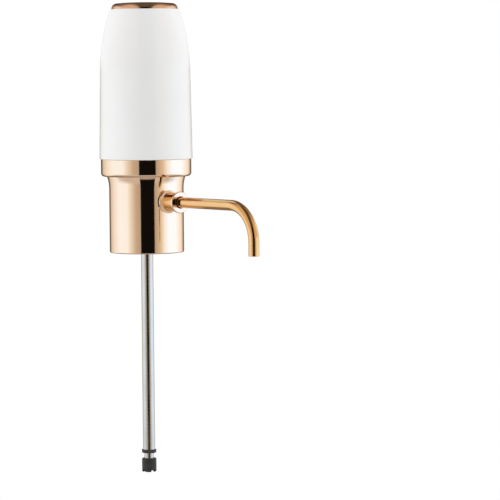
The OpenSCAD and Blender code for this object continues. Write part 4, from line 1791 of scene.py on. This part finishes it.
FRONT_GAP = Gap(left=-0.31, right=0.407, low=-0.53, light=BLACK_CLOTH)
BACK_GAP = Gap(left=-0.14, right=0.14, low=0.08, light=DUSK_CLOTH, soft_side=0.12, soft_low=0.1)
TOP_GAP = Gap(
    left=-0.27, right=0.36, low=0.55, light=(0.13, 0.1, 0.075), soft_side=0.5, soft_low=0.24
)


@dataclass(frozen=True)
class Studio:
    """Light tent, floor, white background and camera."""

    bearing: float = math.radians(54.0)
    distance: float = 1.585
    camera_z: float = 0.0838
    aim_right: float = 0.05967
    aim_z: float = -0.02047
    roll: float = 0.008
    lens: float = 197.3
    sensor: float = 36.0
    clip: tuple[float, float] = (0.05, 50.0)
    tent_r: float = 1.1
    tent_roof: float = 0.95
    tent_round: float = 0.3
    floor_gap: float = 0.01
    floor_r: float = 0.62
    floor_solid: float = 0.3
    floor_matt: float = 0.9
    pale: float = 0.82
    lamp_bearing: float = math.radians(95.0)
    lamp_tilt: float = math.radians(25.0)
    lamp_power: float = 0.7
    lamp_softness: float = math.radians(50.0)

    def build(self) -> None:
        """Sets up the whole studio."""
        scene = bpy.context.scene
        scene.view_settings.view_transform = "Standard"
        self._world(scene)
        self._tent()
        self._floor()
        self._lamps(scene)
        self._camera(scene)

    def _floor_z(self) -> float:
        """Just below the dip tube when it is slid out all the way."""
        return cad_box[0].z - slide_travel("dip_tube_extend") - self.floor_gap

    def _world(self, scene: Scene) -> None:
        """White for what is seen directly or in gloss and glass, pale for the rest.

        Args:
            scene: The scene that gets it.
        """
        world = bpy.data.worlds.new("white_room")
        graph = Graph(world)
        white = {"Color": (*WHITE, 1.0)}
        seen = graph.feed(graph.nodes["Background"], {**white, "Strength": 1.0})
        room = graph.node("Background", {**white, "Strength": self.pale})
        rays = graph.node("LightPath").outputs
        either: NodeSocket = rays["Is Camera Ray"]
        for kind in ("Is Glossy Ray", "Is Transmission Ray"):
            larger = graph.node("Math", {0: either, 1: rays[kind]}, operation="MAXIMUM")
            either = larger.outputs["Value"]
        shades = {1: room.outputs["Background"], 2: seen.outputs["Background"]}
        mix = graph.node("MixShader", {"Fac": either, **shades})
        graph.feed(graph.nodes["World Output"], {"Surface": mix.outputs["Shader"]})
        world.cycles.sampling_method = "NONE"
        scene.world = world

    def _tent(self) -> None:
        """A tent that only gloss sees, dark where the lens looks in."""
        base = self._floor_z() + self.floor_gap / 2.0
        outline = Outline(
            (0.0, base),
            (self.tent_r, base),
            (self.tent_r, self.tent_roof, self.tent_round),
            (0.0, self.tent_roof),
            closed=False,
        )
        tent = placed("light_tent", outline.turned(Steps.WIRE))
        tent.data.materials.append(self._tent_material())
        tent.visible_camera = False
        tent.visible_diffuse = False
        tent.visible_shadow = False
        log.info("light tent set up")

    def _tent_material(self) -> Material:
        """Sets light by bearing along the wall, and by elevation above and below it.

        Returns:
            The material.
        """
        material = bpy.data.materials.new("tent_fabric")
        graph = Graph(material)
        graph.nodes.clear()
        place = graph.node("TexCoord").outputs["Object"]
        turn = (0.0, 0.0, QUARTER_TURN - self.bearing)
        turned = graph.node("Mapping", {"Vector": place, "Rotation": turn}).outputs["Vector"]
        around_wall = graph.node("TexGradient", {"Vector": turned}, gradient_type="RADIAL")
        outward = graph.node("VectorMath", {0: turned}, operation="NORMALIZE").outputs["Vector"]
        axes = graph.node("SeparateXYZ", {"Vector": outward}).outputs
        aside, sine = (
            graph.node("MapRange", {"Value": axes[axis], "From Min": -1.0}).outputs["Result"]
            for axis in "YZ"
        )
        wall = graph.ramp(around_wall.outputs["Fac"], TENT_WALL, *BEARINGS).outputs
        sides: list[NodeSocket] = []
        for tiers, gap in ((TENT_FRONT, FRONT_GAP), (TENT_BACK, BACK_GAP)):
            tier = graph.ramp(sine, tiers, *SINES).outputs
            side = graph.mixed(tier["Alpha"], wall["Color"], tier["Color"])
            sides.append(gap.over(graph, side, aside, sine))
        tent = TOP_GAP.over(graph, graph.mixed(wall["Alpha"], *sides), aside, sine)
        glow = graph.node("Emission", {"Color": tent}).outputs["Emission"]
        graph.node("OutputMaterial", {"Surface": glow})
        return material

    def _floor(self) -> None:
        """A pale round floor that fades into the white background and keeps the shadow."""
        mesh = bmesh.new()
        sides = Steps.FITTING.value
        bmesh.ops.create_circle(mesh, cap_ends=True, radius=self.floor_r, segments=sides)
        floor = placed("floor", shift(mesh, 0.0, 0.0, self._floor_z()))
        floor.data.materials.append(self._floor_material())
        log.info("floor laid at %.3f m", self._floor_z())

    def _floor_material(self) -> Material:
        """Makes matt paper that is clear towards its edge.

        Returns:
            The material.
        """
        paper = Shader("floor_paper", {"Base Color": (*PAPER, 1.0), "Roughness": self.floor_matt})
        level = {0: paper.place, 1: (1.0, 1.0, 0.0)}
        flat = paper.node("VectorMath", level, operation="MULTIPLY").outputs["Vector"]
        reach = paper.node("VectorMath", {0: flat}, operation="LENGTH").outputs["Value"]
        ends = {"Value": reach, "From Min": self.floor_solid, "From Max": self.floor_r}
        fade = paper.node("MapRange", ends, interpolation_type="SMOOTHSTEP").outputs["Result"]
        clear = paper.node("BsdfTransparent").outputs["BSDF"]
        shades = {1: paper.surface.outputs["BSDF"], 2: clear}
        mix = paper.node("MixShader", {"Fac": fade, **shades})
        paper.feed(paper.nodes["Material Output"], {"Surface": mix.outputs["Shader"]})
        return paper.material

    def _lamps(self, scene: Scene) -> None:
        """Sets a weak soft lamp on each side, for matt surfaces, with no glint on metal.

        Args:
            scene: The scene that gets it.
        """
        for name, side in (("left_lamp", -1.0), ("right_lamp", 1.0)):
            data = bpy.data.lights.new(name, "SUN")
            data.energy = self.lamp_power
            data.angle = self.lamp_softness
            lamp = bpy.data.objects.new(name, data)
            heading = self.bearing + side * self.lamp_bearing
            lamp.rotation_euler = (QUARTER_TURN - self.lamp_tilt, 0.0, heading)
            lamp.visible_glossy = False
            scene.collection.objects.link(lamp)

    def _camera(self, scene: Scene) -> None:
        """Sets a long lens a little above the collar, aimed past the object at the pour.

        Args:
            scene: The scene that gets it.
        """
        outward = Vector((math.sin(self.bearing), -math.cos(self.bearing), 0.0))
        right = Vector((math.cos(self.bearing), math.sin(self.bearing), 0.0))
        eye = outward * self.distance + Vector((0.0, 0.0, self.camera_z))
        aim = right * self.aim_right + Vector((0.0, 0.0, self.aim_z))
        data = bpy.data.cameras.new("camera")
        data.lens = self.lens
        data.sensor_width = self.sensor
        data.clip_start, data.clip_end = self.clip
        camera = bpy.data.objects.new("camera", data)
        turn = (aim - eye).to_track_quat("-Z", "Y").to_matrix().to_4x4()
        camera.matrix_world = Matrix.Translation(eye) @ turn @ Matrix.Rotation(-self.roll, 4, "Z")
        scene.collection.objects.link(camera)
        scene.camera = camera


def main() -> None:
    """Builds the aerator's sub-assemblies in order, then the studio."""
    logging.basicConfig(level=logging.INFO, format="%(name)s: %(message)s")
    bench = Bench(Palette())
    shells = (Housing(), Button(), NeckShells(), Spout(), Stopper(), DipTube(), ChargePort())
    for assembly in (*shells, InnerWorks()):
        assembly.build(bench)
        log.info("%s done", type(assembly).__name__)
    Studio().build()


if __name__ == "__main__":
    main()
